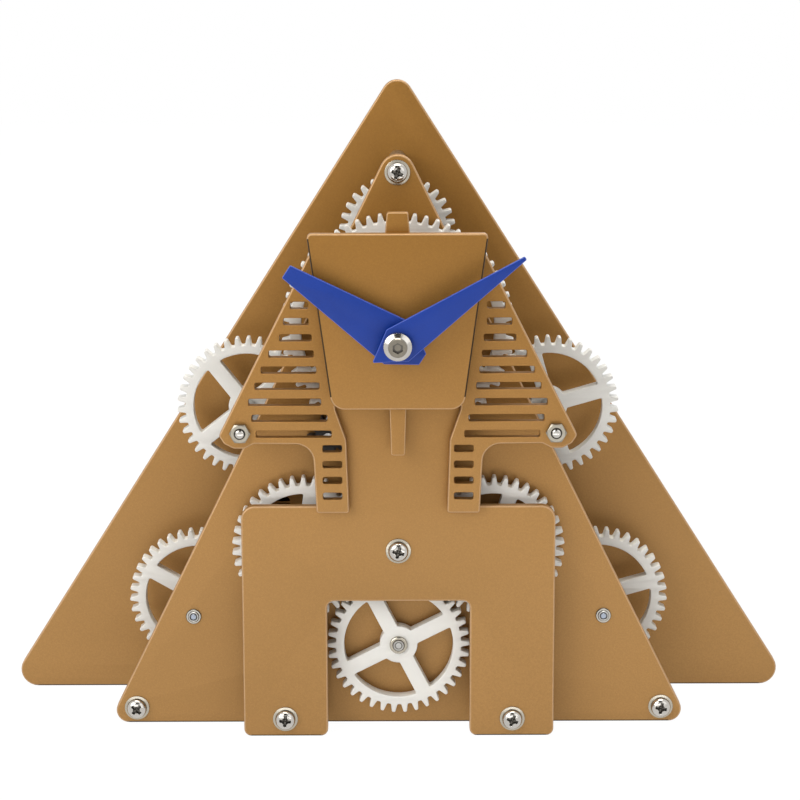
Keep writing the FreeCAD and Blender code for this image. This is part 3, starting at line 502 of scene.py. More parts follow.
class ClockSizes(bpy.types.PropertyGroup):
    """Sizes of teeth, spokes and rounded edges"""
    tooth_tip: length_prop("Tooth tip", "Half the width of a tooth at its tip", 0.46)
    tooth_foot: length_prop("Tooth foot", "Half the width of a tooth at its foot", 0.92)
    tooth_round: length_prop("Tooth round", "Radius of a tooth's tip", 0.42)
    root_round: length_prop("Root round", "Radius at the foot between two teeth", 0.42)
    plate_edge: length_prop("Plate edge", "Radius of the plates' rounded rims", 0.42)
    gear_edge: length_prop("Gear edge", "Radius of the gears' moulded edges", 0.22)
    hand_edge: length_prop("Hand edge", "Radius of the hands' edges", 0.18)
    spoke: length_prop("Spoke width", "Width of a wheel's spokes", 4.2)


def size(name):
    """A length of the sidebar in millimetres."""
    return getattr(bpy.context.scene.clock_sizes, name) / MM


class CLOCK_OT_finishes(bpy.types.Operator):
    """Makes every finish and gives each CAD node its own"""
    bl_idname = "clock.finishes"
    bl_label = "Finishes"

    def execute(self, context):
        group = context.scene.clock_colours
        tint = {name: tuple(getattr(group, name)) for name in ClockColours.__annotations__}
        FINISHES.update({
            "gold_plate": plate_paint("Gold plate paint", tint["plate"]),
            # The rim finish is a painted highlight: a lighter paint on the rounded rims, where they catch the
            # lamps
            "gold_rim_painted_highlight": plate_paint("Gold plate rim", shade(tint["plate"], 1.1, 0.09), 0.3),
            # The edge finish is painted shade: a dark brown for the rims in shadow at the floor and beside the
            # face plate
            "gold_painted_shade": plate_paint("Shaded plate edge", shade(tint["plate"], 0.12), 0.0),
            "blue_hand": hand_paint("Blue hand enamel", tint["hand"]),
            # Painted highlight: a lighter enamel for the hands' rounded edges
            "blue_edge_painted_highlight": hand_paint("Blue hand edge", shade(tint["hand"], 1.5, 0.06)),
            "cell_sleeve": cell_wrap("Cell sleeve", tint["cell"]),
        })
        for slot, *values in (
                ("bright_steel", "Plated steel", tint["steel"], 0.16),
                ("contact_metal", "Contact plating", tint["steel"], 0.3),
                ("arbor_steel", "Turned steel", tint["arbor"], 0.28),
                ("bush_metal", "Bush metal", tint["bush"], 0.3),
                ("brass", "Brass", tint["brass"], 0.24),
                ("nut_steel", "Nut steel", (0.3, 0.275, 0.225, 1.0), 0.28),
                ("satin_steel", "Satin nut face", (0.22, 0.198, 0.16, 1.0), 0.34),
                ("pin_steel", "Pin steel", (0.36, 0.4, 0.47, 1.0), 0.35),
                # The recess finish is painted shade: dark metal in recesses, grooves and sockets, on chamfers, and
                # at the foot of the screw heads
                ("recess", "Screw recess", (0.13, 0.12, 0.105, 1.0), 0.3),
                ("washer", "Washer plating", (0.46, 0.42, 0.345, 1.0), 0.24)):
            FINISHES[slot] = bare_metal(*values)
        for slot, *values in (
                ("white_gear", "White gear plastic", tint["gear"], 0.36, 0.04, 0.012),
                ("black_plastic", "Black plastic", tint["black"], 0.5, 0.25, 0.04),
                ("dark_gear", "Dark gear plastic", tint["dark"], 0.45, 0.2, 0.02),
                ("clear_white_plastic", "Pale wheel plastic", tint["wheel"], 0.3, 0.05, 0.01)):
            FINISHES[slot] = moulded_plastic(*values)
        slot_of = {part["node"]: part["material_slot"] for part in frame["record"]["subparts"]}
        for name, shown in frame["nodes"].items():
            shown.data.materials.clear()
            shown.data.materials.append(FINISHES[slot_of[name]])
        return {"FINISHED"}


# Plates, with the radii of their holes

BOLT_HOLE = 1.45
BUSH_HOLE = 4.05
ARBOR_HOLE = 1.92
SCREW_HOLE = 1.7
SHAFT_HOLE = 1.7
POST_HOLE = 1.52


def box_corners(left, right, low, high, radius):
    """The corners of an upright rectangle."""
    return [(left, low, radius), (right, low, radius), (right, high, radius), (left, high, radius)]


def mirrored(right):
    """A closed outline's corners: the right half, then the same mirrored in reverse."""
    return right + [(-x, z, radius) for x, z, radius in reversed(right)]


def triangle(half_base, height, corner, apex):
    """A triangle on the floor, with the radii of its lower corners and of its apex."""
    return [(-half_base, 0, corner), (half_base, 0, corner), (0, height, apex)]


def lobe(bolt, reach=3.9):
    """The rounded corner of the headdress around its bolt, as places in shares of its reach."""
    shares = ((-0.95, -0.83, 0.4), (-0.3, -1.17, 0.5), (0.45, -1.17, 0.6), (1.12, -0.83, 0.5),
              (1.5, -0.25, 0.35))
    return [(bolt[0] + reach * x, bolt[1] + reach * z, reach * radius) for x, z, radius in shares]


def slots():
    """The openings of the headdress: nine wide rows, whose ends are shares of the headdress's half width, and
    four short ones on each side."""
    inner = (0.498, 0.498, 0.481, 0.471, 0.457, 0.440, 0.432, 0.397, 0.374)
    outer = (0.599, 0.638, 0.661, 0.723, 0.767, 0.804, 0.841, 0.824, 0.800)
    half_width, highest, pitch = 48.4, 123.15, 4.45
    rows = [(half_width * low, half_width * high, highest - pitch * row)
            for row, (low, high) in enumerate(zip(inner, outer))]
    rows += [(15.3, 20.6, rows[-1][2] + 0.35 - pitch * (row + 1)) for row in range(4)]
    return [rounded(box_corners(left, right, middle - 1, middle + 1, 0.5))
            for low, high, middle in rows for left, right in ((low, high), (-high, -low))]


def rim_in_painted_shade(shape, sides):
    """The plate with a part of its rim in the painted shade finish: the part that stands on the floor, or with
    sides its upright parts."""
    points, faces, curved, tones = shape
    heights = [points[face, 2] for face in faces]
    dark = [np.ptp(height) > 20 if sides else height.max() < 0.45 for height in heights]
    return points, faces, curved, [2 if tone and shaded else tone for tone, shaded in zip(tones, dark)]


def holes(centres, radius, count):
    """Round openings at the centres."""
    return [circle(point, radius, count) for point in centres]


class CLOCK_OT_plates(bpy.types.Operator):
    """Makes the painted plates with their rounded rims"""
    bl_idname = "clock.plates"
    bl_label = "Plates"

    def execute(self, context):
        bolt = joint_axis("right_side_body")
        bolts = holes([(side * bolt[0], bolt[1]) for side in (-1, 1)], BOLT_HOLE, 24)
        bush = holes([joint_axis("minute_body")], BUSH_HOLE, 48)
        arbors = holes([joint_axis(name + "_body") for name in ARBORS], ARBOR_HOLE, 32)
        screws = holes(group_centres("middle_plate_screws", 3), SCREW_HOLE, 24)
        legs = holes(group_centres("body_plate_screws", 3), SCREW_HOLE, 24)
        setting, idler, drive = (joint_axis(name + "_body") for name in ("setting", "idler", "drive"))
        outlines = {
            "back_plate": [rounded(triangle(116.6, 183.5, 5.0, 4.4), 10)] + arbors + screws + bolts + [
                circle(setting, SHAFT_HOLE, 24), circle(idler, POST_HOLE, 24)],
            "middle_plate": [rounded(triangle(82.7, 168.2, 3.6, 4.8), 10)] + arbors + screws + legs + bush + [
                circle(drive, SHAFT_HOLE, 24)],
            "body_plate": [rounded(mirrored([
                (19.85, 39.3, 2.0), (19.85, 0, 2.0), (43.4, 0, 2.0), (43.4, 66.5, 3.8), (14.6, 66.5, 2.0),
                (14.6, 84.0, 2.0), (18.4, 95.0, 2.0), (18.4, 128.0, 2.0)]), 8)] + legs + bush,
            "headdress_plate": [rounded(mirrored([
                (17.9, 97.0, 2.0), (14.1, 85.9, 2.0), (13.4, 65.3, 0.8), (22.4, 65.3, 0.8), (23.3, 84.7, 5.0)]
                + lobe(bolt) + [(23.2, 138.0, 1.2)]), 8)] + slots() + bolts + bush,
            "head_core": [rounded(mirrored([
                (1.9, 82.2, 0.7), (2.4, 100.0, 0.7), (9.0, 100.0, 0.7), (9.0, 142.3, 0.7), (3.4, 142.3, 0.7),
                (2.85, 148.7, 0.7)]), 6)] + bush,
            "face_plate": [rounded(mirrored([(17.8, 95.6, 4.0), (24.3, 143.4, 1.2)]), 8)] + bush,
        }
        for node, rings in outlines.items():
            back, front = depth_span(node)
            edge = 0.3 if node == "head_core" else size("plate_edge")
            # Painted highlight on the rounded rims (second finish), and painted shade on the rims that stand on
            # the floor or on the face plate's upright rims (third finish)
            shape = rim_in_painted_shade(slab(rings, back, front, edge, 4, 0.12), node == "face_plate")
            piece(node + "_painted", shape, "frame", [node], ["gold_plate", "gold_rim_painted_highlight", "gold_painted_shade"])
        return {"FINISHED"}


# Gears of module 1: how far a tooth stands above and goes below the pitch circle, and the web's thickness

TOOTH_ABOVE = 1.0
TOOTH_BELOW = 1.35
WEB = 4.0


def toothed_outline(axis, teeth, phase, root, tip):
    """A ring of teeth with four rounded corners each, at the foot and tip radius, on both sides."""
    middle = phase + np.arange(teeth) * TURN / teeth
    reach = np.array([root, tip, tip, root])
    side = np.array([-size("tooth_foot"), -size("tooth_tip"), size("tooth_tip"), size("tooth_foot")])
    radius = np.array([size("root_round"), size("tooth_round"), size("tooth_round"), size("root_round")])
    bearing = middle[:, None] + np.arctan2(side, reach)[None, :]
    x = axis[0] + reach * np.sin(bearing)
    z = axis[1] + reach * np.cos(bearing)
    corners = np.stack([x, z, np.broadcast_to(radius, x.shape)], -1).reshape(-1, 3)
    return rounded(corners, 5)


def window(axis, hub, rim, left, right, half_spoke, steps=14):
    """The opening between two spokes: an arc along the hub, a straight side, an arc along the rim and back.
    The arcs end where they meet lines that lie half a spoke's width beside each spoke's middle."""
    inner = np.linspace(left + math.asin(half_spoke / hub), right - math.asin(half_spoke / hub), steps)
    outer = np.linspace(left + math.asin(half_spoke / rim), right - math.asin(half_spoke / rim), steps)
    bearing = np.concatenate([inner, outer[::-1]])
    reach = np.concatenate([np.full(steps, hub), np.full(steps, rim)])
    radius = np.zeros(2 * steps)
    radius[[0, steps - 1, steps, 2 * steps - 1]] = 0.45
    corners = np.stack([axis[0] + reach * np.sin(bearing), axis[1] + reach * np.cos(bearing), radius], 1)
    return rounded(corners, 4)


def wheel(node, body, teeth, spoke_bearing, bore, spokes=4, rim=2.3, hub=5.3, teeth_back=None):
    """A moulded wheel: a toothed ring, spokes and a round hub in one flat web. Where teeth_back is given, the
    web starts there, and the hub goes on over the node's whole depth."""
    axis = joint_axis(body)
    back, front = depth_span(node)
    tip = teeth / 2 + TOOTH_ABOVE
    root = teeth / 2 - TOOTH_BELOW
    edge = size("gear_edge")
    turn = math.radians(spoke_bearing)
    step = TURN / spokes
    starts = [turn + step * number for number in range(spokes)]
    windows = [window(axis, hub, root - rim, start, start + step, size("spoke") / 2) for start in starts]
    outlines = [toothed_outline(axis, teeth, tooth_bearing(node, axis, teeth, tip), root, tip)] + windows
    outlines.append(circle(axis, bore, 40))
    if teeth_back is None:
        shape = slab(outlines, back, front, edge)
    else:
        teeth_front = teeth_back + math.copysign(WEB, front - back)
        shape = joined([slab(outlines, teeth_back, teeth_front, edge),
                        slab([circle(axis, hub, 72), circle(axis, bore, 48)], back, front, edge)])
    piece(node + "_moulded", shape, body, [node], ["white_gear"])


# The wheels with four spokes: name, teeth, the bearing of a spoke in degrees, the radius of the bore
WHEELS = (
    ("top", 31, 20, 2.02),
    ("left_side", 38, -38, 1.3),
    ("right_side", 38, 74, 1.3),
    ("left_low", 38, -60, 2.02),
    ("right_low", 38, 74, 2.02),
    ("left_transfer", 38, 45, 2.02),
    ("right_transfer", 38, 45, 2.02),
    ("left_mid", 38, 8, 1.52),
    ("right_mid", 38, 18, 1.52),
    ("bottom", 38, 63, 1.52),
)


class CLOCK_OT_gears(bpy.types.Operator):
    """Makes the white spoked wheels with rounded teeth"""
    bl_idname = "clock.gears"
    bl_label = "Gears"

    def execute(self, context):
        for name, teeth, bearing, bore in WHEELS:
            # The transfer wheels turn with the mid wheels
            wheel(name + "_gear", name.replace("transfer", "mid") + "_body", teeth, bearing, bore)
        wheel("big_gear", "big_gear_body", 62, 0, 5.55, spokes=6, rim=3.1, hub=9.0,
              teeth_back=depth_span("left_mid_gear")[0])
        wheel("idler_gear", "idler_body", 40, 45, 1.52, teeth_back=depth_span("idler_gear")[0])
        return {"FINISHED"}


# Arbors

def arbor(name, pin):
    """A turned arbor: its two journals and the thicker part between them, with the CAD arbor's lengths and a
    ring groove around a small centre pin in its front end, deep where the pin has a finish of its own. The
    groove takes a dark finish, a painted shade."""
    node = name + "_arbor"
    axis = joint_axis(name + "_body")
    points = node_points(node)
    reach = np.hypot(points[:, 0] - axis[0], points[:, 2] - axis[1])
    thick = points[reach > 1.75, 1]
    groove = 0.5 if pin == "pin_steel" else 0.06
    back, front = depth_span(node)
    high, low = thick.max(), thick.min()
    profile = [(0, back), (1.25, back), (1.5, back - 0.25), (1.5, high), (1.85, high), (2.0, high - 0.15),
               (2.0, low + 0.15), (1.85, low), (1.5, low), (1.5, front + 0.15), (1.36, front), (1.14, front),
               (1.08, front + 0.06), (1.08, front + groove), (0.8, front + groove),
               (0.8, front + groove * 0.2), (0.7, front), (0, front)]
    # Painted shade in the groove, steps 12 to 14; steps 15 and 16 are the pin
    shape = turned(axis, profile, 64, ((12, 1), (13, 1), (14, 1), (15, 2), (16, 2)))
    piece(node + "_turned", shape, name + "_body", [node], ["arbor_steel", "recess", pin])


def bushes():
    """Two flanged bushes at every arbor, one in each plate, with a dark chamfer around the flange, a painted
    shade that also covers the flange's side. Their depths are the CAD bushes': the points around one arbor fall
    into a rear and a front group."""
    points = node_points("arbor_bushes")
    shapes = []
    for name in ARBORS:
        axis = joint_axis(name + "_body")
        depths = points[np.hypot(points[:, 0] - axis[0], points[:, 2] - axis[1]) < 3, 1]
        middle = (depths.min() + depths.max()) / 2
        for group in (depths[depths > middle], depths[depths < middle]):
            back, front = group.max(), group.min()
            seat = front + 0.6
            profile = [(1.55, back), (1.9, back), (1.9, seat), (2.15, seat), (2.15, front + 0.2),
                       (1.98, front), (1.68, front), (1.55, front + 0.13), (1.55, back)]
            # Painted shade on the flange's side and chamfer, steps 3 and 4
            shapes.append(turned(axis, profile, 64, ((3, 1), (4, 1))))
    piece("arbor_bushes_turned", joined(shapes), "frame", ["arbor_bushes"], ["bush_metal", "recess"])


class CLOCK_OT_arbors(bpy.types.Operator):
    """Makes the turned arbors of the six geared shafts, their bushes, and the collar of the bottom gear"""
    bl_idname = "clock.arbors"
    bl_label = "Arbors"

    def execute(self, context):
        for name in ARBORS:
            arbor(name, "pin_steel" if "low" in name else "arbor_steel")
        bushes()
        back, front = depth_span("bottom_gear_collar")
        profile = [(1.51, back), (2.4, back), (2.5, back - 0.1), (2.5, front + 0.3), (2.42, front + 0.12),
                   (2.2, front), (1.75, front), (1.6, front + 0.12), (1.51, front + 0.3), (1.51, back)]
        # Painted shade on the collar's outer and inner chamfers, steps 3 and 7
        shape = turned(joint_axis("bottom_body"), profile, 72, ((3, 1), (7, 1)))
        piece("bottom_gear_collar_turned", shape, "bottom_body", ["bottom_gear_collar"], ["washer", "recess"],
              24.0, "arbor_steel")
        return {"FINISHED"}


# Battery box

class CLOCK_OT_battery_box(bpy.types.Operator):
    """Makes the battery box as layers that lap by 0.04 mm, and its sliding door with grip ridges"""
    bl_idname = "clock.battery_box"
    bl_label = "Battery box"

    def execute(self, context):
        left, right, foot, top, back, front = sides("battery_box")
        wall = 1.6
        bay = right - 8.0
        switch_low, switch_high = foot + 12.4, foot + 20.4
        outer = box_corners(left, right, foot, top, 1.2)
        room = box_corners(left + wall, bay - wall, foot + wall, top - wall, 0.4)
        pocket = box_corners(bay, right - wall, foot + wall, top - wall, 0.4)
        # The outline with the switch's opening in its side
        cut_side = [(left, foot, 1.2), (right, foot, 1.2), (right, switch_low, 0),
                    (right - wall, switch_low, 0), (right - wall, foot + wall, 0.4), (bay, foot + wall, 0.4),
                    (bay, top - wall, 0.4), (right - wall, top - wall, 0.4), (right - wall, switch_high, 0),
                    (right, switch_high, 0), (right, top, 1.2), (left, top, 1.2)]
        # The end that the door slides in at: lips at the back and wider grooves in front of them
        lips, grooves = ([(left, foot, 1.2), (right, foot, 0.3), (right, foot + rim, 0),
                          (left + rim, foot + rim, 0), (left + rim, top - rim, 0), (right, top - rim, 0),
                          (right, top, 0.3), (left, top, 1.2)] for rim in (wall, 0.8))
        layers = [[lips], [grooves], [outer, room], [outer, room, pocket], [cut_side, room],
                  [outer, room, pocket], [outer]]
        depths = np.array((0.65, 2.3, 3.8, 8.1, 11.1, 16.9))
        lap = 0.02
        backs = [back, *(back - depths + lap)]
        fronts = [*(back - depths - lap), front]
        edges = (0.22, 0, 0, 0, 0, 0, 0.15)
        shapes = [slab([rounded(corners, 6) for corners in outlines], *span)
                  for outlines, *span in zip(layers, backs, fronts, edges)]
        piece("battery_box_moulded", joined(shapes), "frame", ["battery_box"], ["black_plastic"])
        left, right, foot, top, back, front = sides("battery_door")
        layers = [(box_corners(left, right, foot, top, 0.5), back - 1.3, front, 0.12),
                  (box_corners(left + 0.8, right, foot + 0.8, top - 0.8, 0.5), back - 0.5, back - 1.35, 0.2)]
        for start in right - 16.6 + 2.4 * np.arange(5):
            grip = box_corners(start, start + 1.0, foot + 6.65, top - 6.65, 0.45)
            layers.append((grip, back, back - 0.6, 0.25))
        shapes = [slab([rounded(corners, 5)], *span) for corners, *span in layers]
        piece("battery_door_moulded", joined(shapes), "door_body", ["battery_door"], ["black_plastic"])
        return {"FINISHED"}


# Screws, washers and nuts

HEAD_RADIUS = 2.8
HEAD_HEIGHT = 2.1
HEAD_SIDE = 0.45


def cross_depth_at(x, z, turn):
    """How deep a cross recess is at a point: the deepest of a cone in the middle and two tapered slots, each
    a product of two ramps."""
    across = x * math.cos(turn) - z * math.sin(turn)
    up = x * math.sin(turn) + z * math.cos(turn)

    def slot_at(along, aside):
        return np.clip((1.65 - np.abs(along)) / 0.35, 0, 1) * np.clip((0.42 - np.abs(aside)) / 0.12, 0, 1)

    well = np.clip(1.35 - np.hypot(across, up) / 0.75, 0, 1)
    return 1.25 * np.maximum(np.maximum(slot_at(across, up), slot_at(up, across)) * 0.75, well)


def pan_head(point, seat, towards, turn):
    """A pan head: over a polar grid its height is a rounded dome, that of its side plus the rest times
    (1 - (r / radius) ** 3.2) ** 0.5, with the cross recess taken out of it. A flat ring under it closes the
    head. The recess and the lowest rows of the dome take the second finish, a painted shade."""
    count = 96
    bearing = bearings(count)
    share = np.sin(np.linspace(0, math.pi / 2, 44))[::-1, None] * np.ones(count)
    side = share * HEAD_RADIUS * np.sin(bearing)
    up = share * HEAD_RADIUS * np.cos(bearing)
    dome = HEAD_SIDE + (HEAD_HEIGHT - HEAD_SIDE) * np.sqrt(np.clip(1 - share ** 3.2, 0, 1))
    sunk = cross_depth_at(side, up, turn)
    rows = np.stack([point[0] + side, seat + towards * (dome - sunk), point[1] + up], -1)
    low = rows[:1].copy()
    low[:, :, 1] = seat
    middle = np.broadcast_to([point[0], seat, point[1]], low.shape)
    points = np.concatenate([middle, low, rows]).reshape(-1, 3)
    faces = grid_faces(len(rows) + 2, count)
    # Painted shade: the cross recess deeper than 0.3 mm, the head's side and the dome's lowest rows take the dark
    # second finish
    tones = np.concatenate([np.zeros((2, count), int), (sunk[1:] > 0.3).astype(int)])
    tones[1:9] = 1
    return points, faces, [True] * len(faces), tones.reshape(-1).tolist()


def shank(point, start, end, radius=1.5):
    """A closed round bar with a small rounded end."""
    towards = math.copysign(1, end - start)
    profile = [(0, start), (radius, start), (radius, end - towards * 0.45),
               (radius * 0.93, end - towards * 0.22), (radius * 0.72, end - towards * 0.06), (0, end)]
    return turned(point, profile, 32)


def ring(point, outer, inner, back, front):
    """A flat ring with rounded edges."""
    return slab([circle(point, outer, 72), circle(point, inner, 40)], back, front, 0.12, 2)


def hex_nut(point, flats, seat, towards, height, bore, turn):
    """A hexagon nut: each ring's radius is that of a hexagon at its bearing, cut by a cone of 28 degrees at
    both faces, so that every flat ends in the usual arc. The bore has a small dark lead-in, a painted shade."""
    count = 144
    hexagon = flats / 2 / np.cos(np.mod(bearings(count) - turn, TURN / 6) - TURN / 12)
    cone = flats / 2 * 0.94
    cut = np.clip(hexagon - cone, 0, None) * math.tan(math.radians(28))
    rows = [(bore, 0), (cone, 0), (hexagon, cut), (hexagon, height - cut), (cone, height),
            (bore + 0.3, height), (bore, height - 0.3), (bore, 0)]
    # Painted shade on the bore's lead-in, step 5
    return turned(point, [(reach, seat + towards * up) for reach, up in rows], count, ((5, 1),))


class CLOCK_OT_screws(bpy.types.Operator):
    """Makes the pan head screws, their washers, and the side bolts with their nuts"""
    bl_idname = "clock.screws"
    bl_label = "Screws and nuts"

    def execute(self, context):
        # The second finish paints shade into the recesses and at the foot of the heads
        steel = ["bright_steel", "recess"]
        turns = {"middle_plate_screws": (0.75, 0.35, 0.2), "body_plate_screws": (0.1, 0.25, 0.35)}
        heads = []
        for node, angles in turns.items():
            back, front = depth_span(node)
            centres = sorted(group_centres(node, 3), key=lambda spot: spot[0])
            shapes = []
            for point, turn in zip(centres, angles):
                seat = front + HEAD_HEIGHT
                shapes += [pan_head(point, seat, -1, turn), shank(point, seat - 0.4, back)]
                heads.append((point, seat))
            piece(node + "_pan", joined(shapes), "frame", [node], steel)
        piece("washers_rounded", joined([ring(point, 3.5, 1.7, seat + 0.5, seat) for point, seat in heads]),
              "frame", ["screw_washers"], ["washer"], slot="bright_steel")
        for node, count, radius in (("rear_screws", 3, 1.5), ("side_bolts", 2, 1.25)):
            back, front = depth_span(node)
            shapes = []
            for number, point in enumerate(group_centres(node, count)):
                seat = back - HEAD_HEIGHT
                shapes += [pan_head(point, seat, 1, 0.3 + number), shank(point, seat - 0.4, front, radius)]
            piece(node + "_pan", joined(shapes), "frame", [node], steel)
        for node, count, flats, bore, turn in (
                ("side_nuts", 2, 5.0, 1.27, math.pi / 2), ("body_screw_nuts", 3, 5.5, 1.52, math.pi / 2),
                ("bush_nut", 1, 10.0, 4.02, math.pi / 6)):
            back, front = depth_span(node)
            centres = [joint_axis("minute_body")] if count == 1 else group_centres(node, count)
            shapes = [hex_nut(point, flats, back, -1, abs(front - back), bore, turn) for point in centres]
            piece(node + "_chamfered", joined(shapes), "frame", [node], ["nut_steel", "recess"], 20.0,
                  "bright_steel")
        return {"FINISHED"}


# Hands and the knurled nut that holds them

def hand_shape(axis, bearing, length, half_tip, half_wide, half_tail, tail, back, front, bore, boss,
               boss_back):
    """A flat hand with a round boss, and with two rounded corners each at its tip, its axis and its tail."""
    turn = math.radians(bearing)
    corners = []
    for reach, side, radius in ((length, -half_tip, 0.35), (0, -half_wide, 0.5), (-tail, -half_tail, 0.3),
                                (-tail, half_tail, 0.3), (0, half_wide, 0.5), (length, half_tip, 0.35)):
        radius = min(radius, abs(side) * 0.9)
        corners.append((*off(off(axis, reach, turn), side, turn + math.pi / 2), radius))
    return joined([slab([rounded(corners, 5), circle(axis, bore, 40)], back, front, size("hand_edge")),
                   ring(axis, boss, bore, boss_back, back + 0.05)])


class CLOCK_OT_hands(bpy.types.Operator):
    """Makes the two blue hands and the knurled nut that holds them"""
    bl_idname = "clock.hands"
    bl_label = "Hands"

    def execute(self, context):
        axis = joint_axis("minute_body")
        for node, body, values, bore, boss in (
                ("hour_hand", "hour_body", (-56.7, 35.3, 2.0, 6.7, 1.75, 7.9), 2.52, 4.0),
                ("minute_hand", "minute_body", (55.4, 41.0, 0.5, 5.2, 0.2, 7.9), 1.62, 3.0)):
            back, front = depth_span(node)
            shape = hand_shape(axis, *values, front + 1.0, front, bore, boss, back)
            # The hands' rounded edges take the second finish, a painted highlight
            piece(node + "_enamelled", shape, body, [node], ["blue_hand", "blue_edge_painted_highlight"])
        back, front = depth_span("hand_nut")
        ridges = 36
        bearing = bearings(ridges * 8)
        ridge = 0.3 * np.abs(np.cos(ridges / 2 * bearing)) ** 1.6
        socket = 1.32
        hexagon = socket / np.cos(np.mod(bearing, TURN / 6) - TURN / 12)
        profile = [(1.62, back), (3.3, back), (3.75 - ridge / 2, back - 0.15), (3.9 - ridge, back - 0.4),
                   (3.9 - ridge, front + 2.1), (3.8 - ridge / 2, front + 1.95), (3.74, front + 1.915),
                   (2.7, front + 1.345), (2.62, front + 1.3), (2.5, front + 0.15), (2.35, front),
                   (hexagon, front), (hexagon, front + 1.1), (0.85, front + 1.1), (0, front + 1.1),
                   (0, front + 1.9), (1.62, front + 1.9), (1.62, back)]
        # Painted shade on the walls and outer floor of the hex socket, steps 11 and 12; steps 9, 10 and 13 take
        # the satin finish
        shape = turned(axis, profile, len(bearing), ((9, 2), (10, 2), (11, 1), (12, 1), (13, 2)))
        piece("hand_nut_knurled", shape, "minute_body", ["hand_nut"],
              ["bright_steel", "recess", "satin_steel"], 24.0)
        return {"FINISHED"}


# Floor, lamps and camera

def white_to_the_eye(shader, lit, white, output, share):
    """Shows white instead of what is lit, by a share, to rays of the camera, of reflections and through clear
    things, and to no others."""
    seen, through, reflected = (shader.node("ShaderNodeLightPath", {}, {}, kind)
                                for kind in ("Is Camera Ray", "Is Transmission Ray", "Is Glossy Ray"))
    factor = seen.larger(through).larger(reflected) * share
    mixed = shader.node("ShaderNodeMixShader", {}, {"Fac": factor, 1: lit, 2: white})
    shader.feed(shader.tree.nodes[output], "Surface", mixed)


def sheet(name, corners, finish):
    """One flat face of the stage."""
    mesh = bpy.data.meshes.new(name)
    mesh.from_pydata(corners, [], [(0, 1, 2, 3)])
    mesh.materials.append(finish.material)
    made = bpy.data.objects.new(name, mesh)
    bpy.context.scene.collection.objects.link(made)
    return made


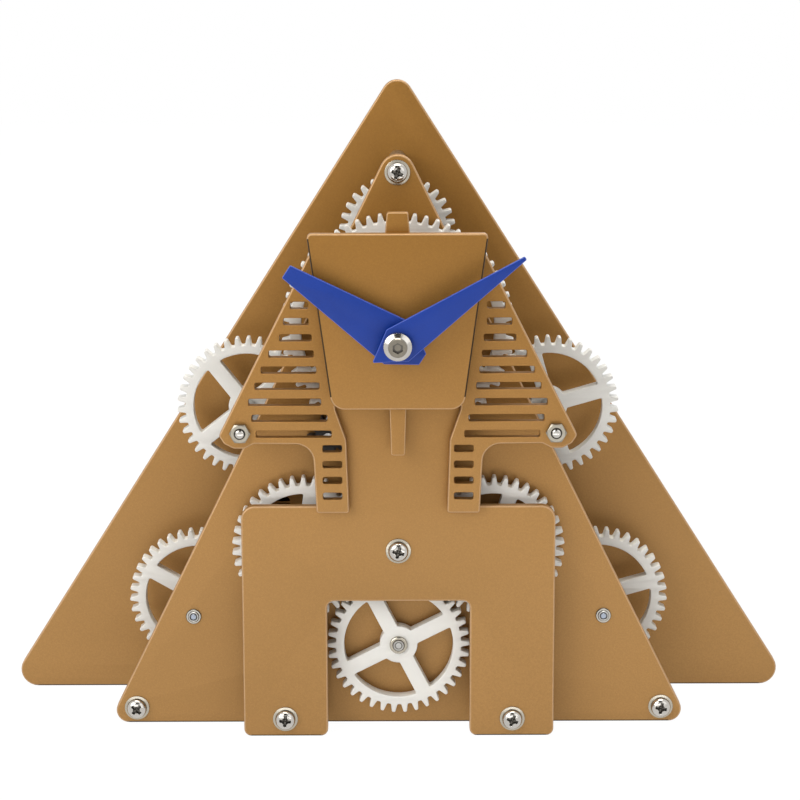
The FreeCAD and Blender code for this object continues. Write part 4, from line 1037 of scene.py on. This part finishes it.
class CLOCK_OT_stage(bpy.types.Operator):
    """Makes the pale floor, the soft lamps, the white surroundings and the camera"""
    bl_idname = "clock.stage"
    bl_label = "Stage"

    def execute(self, context):
        scene = context.scene
        half = 1.7
        paper = Finish("Pale floor", {"Base Color": (0.8, 0.8, 0.8, 1.0), "Roughness": 0.9})
        glow = paper.node("ShaderNodeEmission", {}, {"Color": (1.0, 1.0, 1.0, 1.0), "Strength": 1.05})
        white_to_the_eye(paper, Field(paper, paper.surface.outputs["BSDF"]), glow, "Material Output", 0.93)
        corners = [(-half, -half, 0), (half, -half, 0), (half, half, 0), (-half, half, 0)]
        floor = sheet("floor", corners, paper)

        scene.world = bpy.data.worlds.new("Soft surroundings")
        shader = Shader(scene.world)
        room = shader.tree.nodes["Background"]
        shader.feed(room, "Color", (0.93, 0.95, 1.0, 1.0))
        shader.feed(room, "Strength", 0.25)
        white = shader.node("ShaderNodeBackground", {}, {"Color": (1.0, 1.0, 1.0, 1.0)})
        white_to_the_eye(shader, Field(shader, room.outputs["Background"]), white, "World Output", 1.0)

        self.lamp("Left window", (-0.85, -1.0, 0.75), 0.9, 10.5, (1.0, 0.985, 0.96))
        self.lamp("Right window", (0.85, -1.0, 0.7), 0.8, 1.6, (0.97, 0.985, 1.0))
        self.lamp("Top panel", (0.0, -0.1, 1.3), 0.9, 10.5, (1.0, 0.96, 0.88))
        self.lamp("Low fill", (0.0, -0.24, 0.02), 0.34, 0.08, (1.0, 1.0, 1.0), 0.03)
        self.lamp("Back panel", (0.5, 1.0, 0.9), 0.9, 5.0, (1.0, 1.0, 1.0))
        self.card()

        lens = bpy.data.cameras.new("Photo camera")
        lens.sensor_width = 36.0
        lens.lens = 112.5
        lens.shift_x = 0.0026
        lens.clip_start = 0.01
        lens.clip_end = 60.0
        camera = bpy.data.objects.new("Photo camera", lens)
        scene.collection.objects.link(camera)
        pitch = math.radians(12.0)
        away = 0.6944
        aim = Vector((0.0, -0.01095, 0.0939))
        camera.location = aim + away * Vector((0.0, -math.cos(pitch), math.sin(pitch)))
        roll = Matrix.Rotation(math.radians(-0.16), 3, "Z")
        camera.rotation_euler = (Euler((math.pi / 2 - pitch, 0.0, 0.0)).to_matrix() @ roll).to_euler()
        scene.camera = camera
        scene.view_settings.view_transform = "Standard"
        return {"FINISHED"}

    @staticmethod
    def card():
        """A dark card over the camera, for the dark parts that bright metal shows."""
        cloth = Finish("Dark card", {"Base Color": (0.01, 0.01, 0.01, 1.0), "Roughness": 1.0})
        corners = [(-0.3, -1.0, 0.5), (0.3, -1.0, 0.5), (0.3, -0.6, 1.2), (-0.3, -0.6, 1.2)]
        card = sheet("dark_card", corners, cloth)
        card.visible_camera = False
        card.visible_shadow = False

    @staticmethod
    def lamp(name, place, size, power, colour, height=None):
        """A soft lamp that faces the middle of the clock, square unless it has a height."""
        light = bpy.data.lights.new(name, "AREA")
        light.shape = "RECTANGLE"
        light.size = size
        light.size_y = height or size
        light.energy = power
        light.color = colour
        lamp = bpy.data.objects.new(name, light)
        lamp.location = place
        lamp.rotation_euler = (Vector((0, 0, 0.09)) - Vector(place)).to_track_quat("-Z", "Y").to_euler()
        bpy.context.scene.collection.objects.link(lamp)


class CLOCK_PT_panel(bpy.types.Panel):
    """Lists the clock's pieces, sizes and colours"""
    bl_idname = "CLOCK_PT_panel"
    bl_label = "Gear clock"
    bl_space_type = "VIEW_3D"
    bl_region_type = "UI"
    bl_category = "Gear clock"

    def draw(self, context):
        for group in (context.scene.clock_sizes, context.scene.clock_colours):
            box = self.layout.box()
            for name in group.__annotations__:
                box.prop(group, name)
        for step in STEPS:
            self.layout.operator(step.bl_idname)


STEPS = (CLOCK_OT_finishes, CLOCK_OT_plates, CLOCK_OT_gears, CLOCK_OT_arbors, CLOCK_OT_battery_box,
         CLOCK_OT_screws, CLOCK_OT_hands, CLOCK_OT_stage)
CLASSES = (ClockColours, ClockSizes) + STEPS + (CLOCK_PT_panel,)


def register():
    for item in CLASSES:
        bpy.utils.register_class(item)
    bpy.types.Scene.clock_colours = bpy.props.PointerProperty(type=ClockColours)
    bpy.types.Scene.clock_sizes = bpy.props.PointerProperty(type=ClockSizes)


def unregister():
    del bpy.types.Scene.clock_sizes
    del bpy.types.Scene.clock_colours
    for item in reversed(CLASSES):
        bpy.utils.unregister_class(item)


def main():
    """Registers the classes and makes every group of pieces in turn."""
    register()
    for step in STEPS:
        group, name = step.bl_idname.split(".")
        getattr(getattr(bpy.ops, group), name)()


if __name__ == "__main__":
    main()
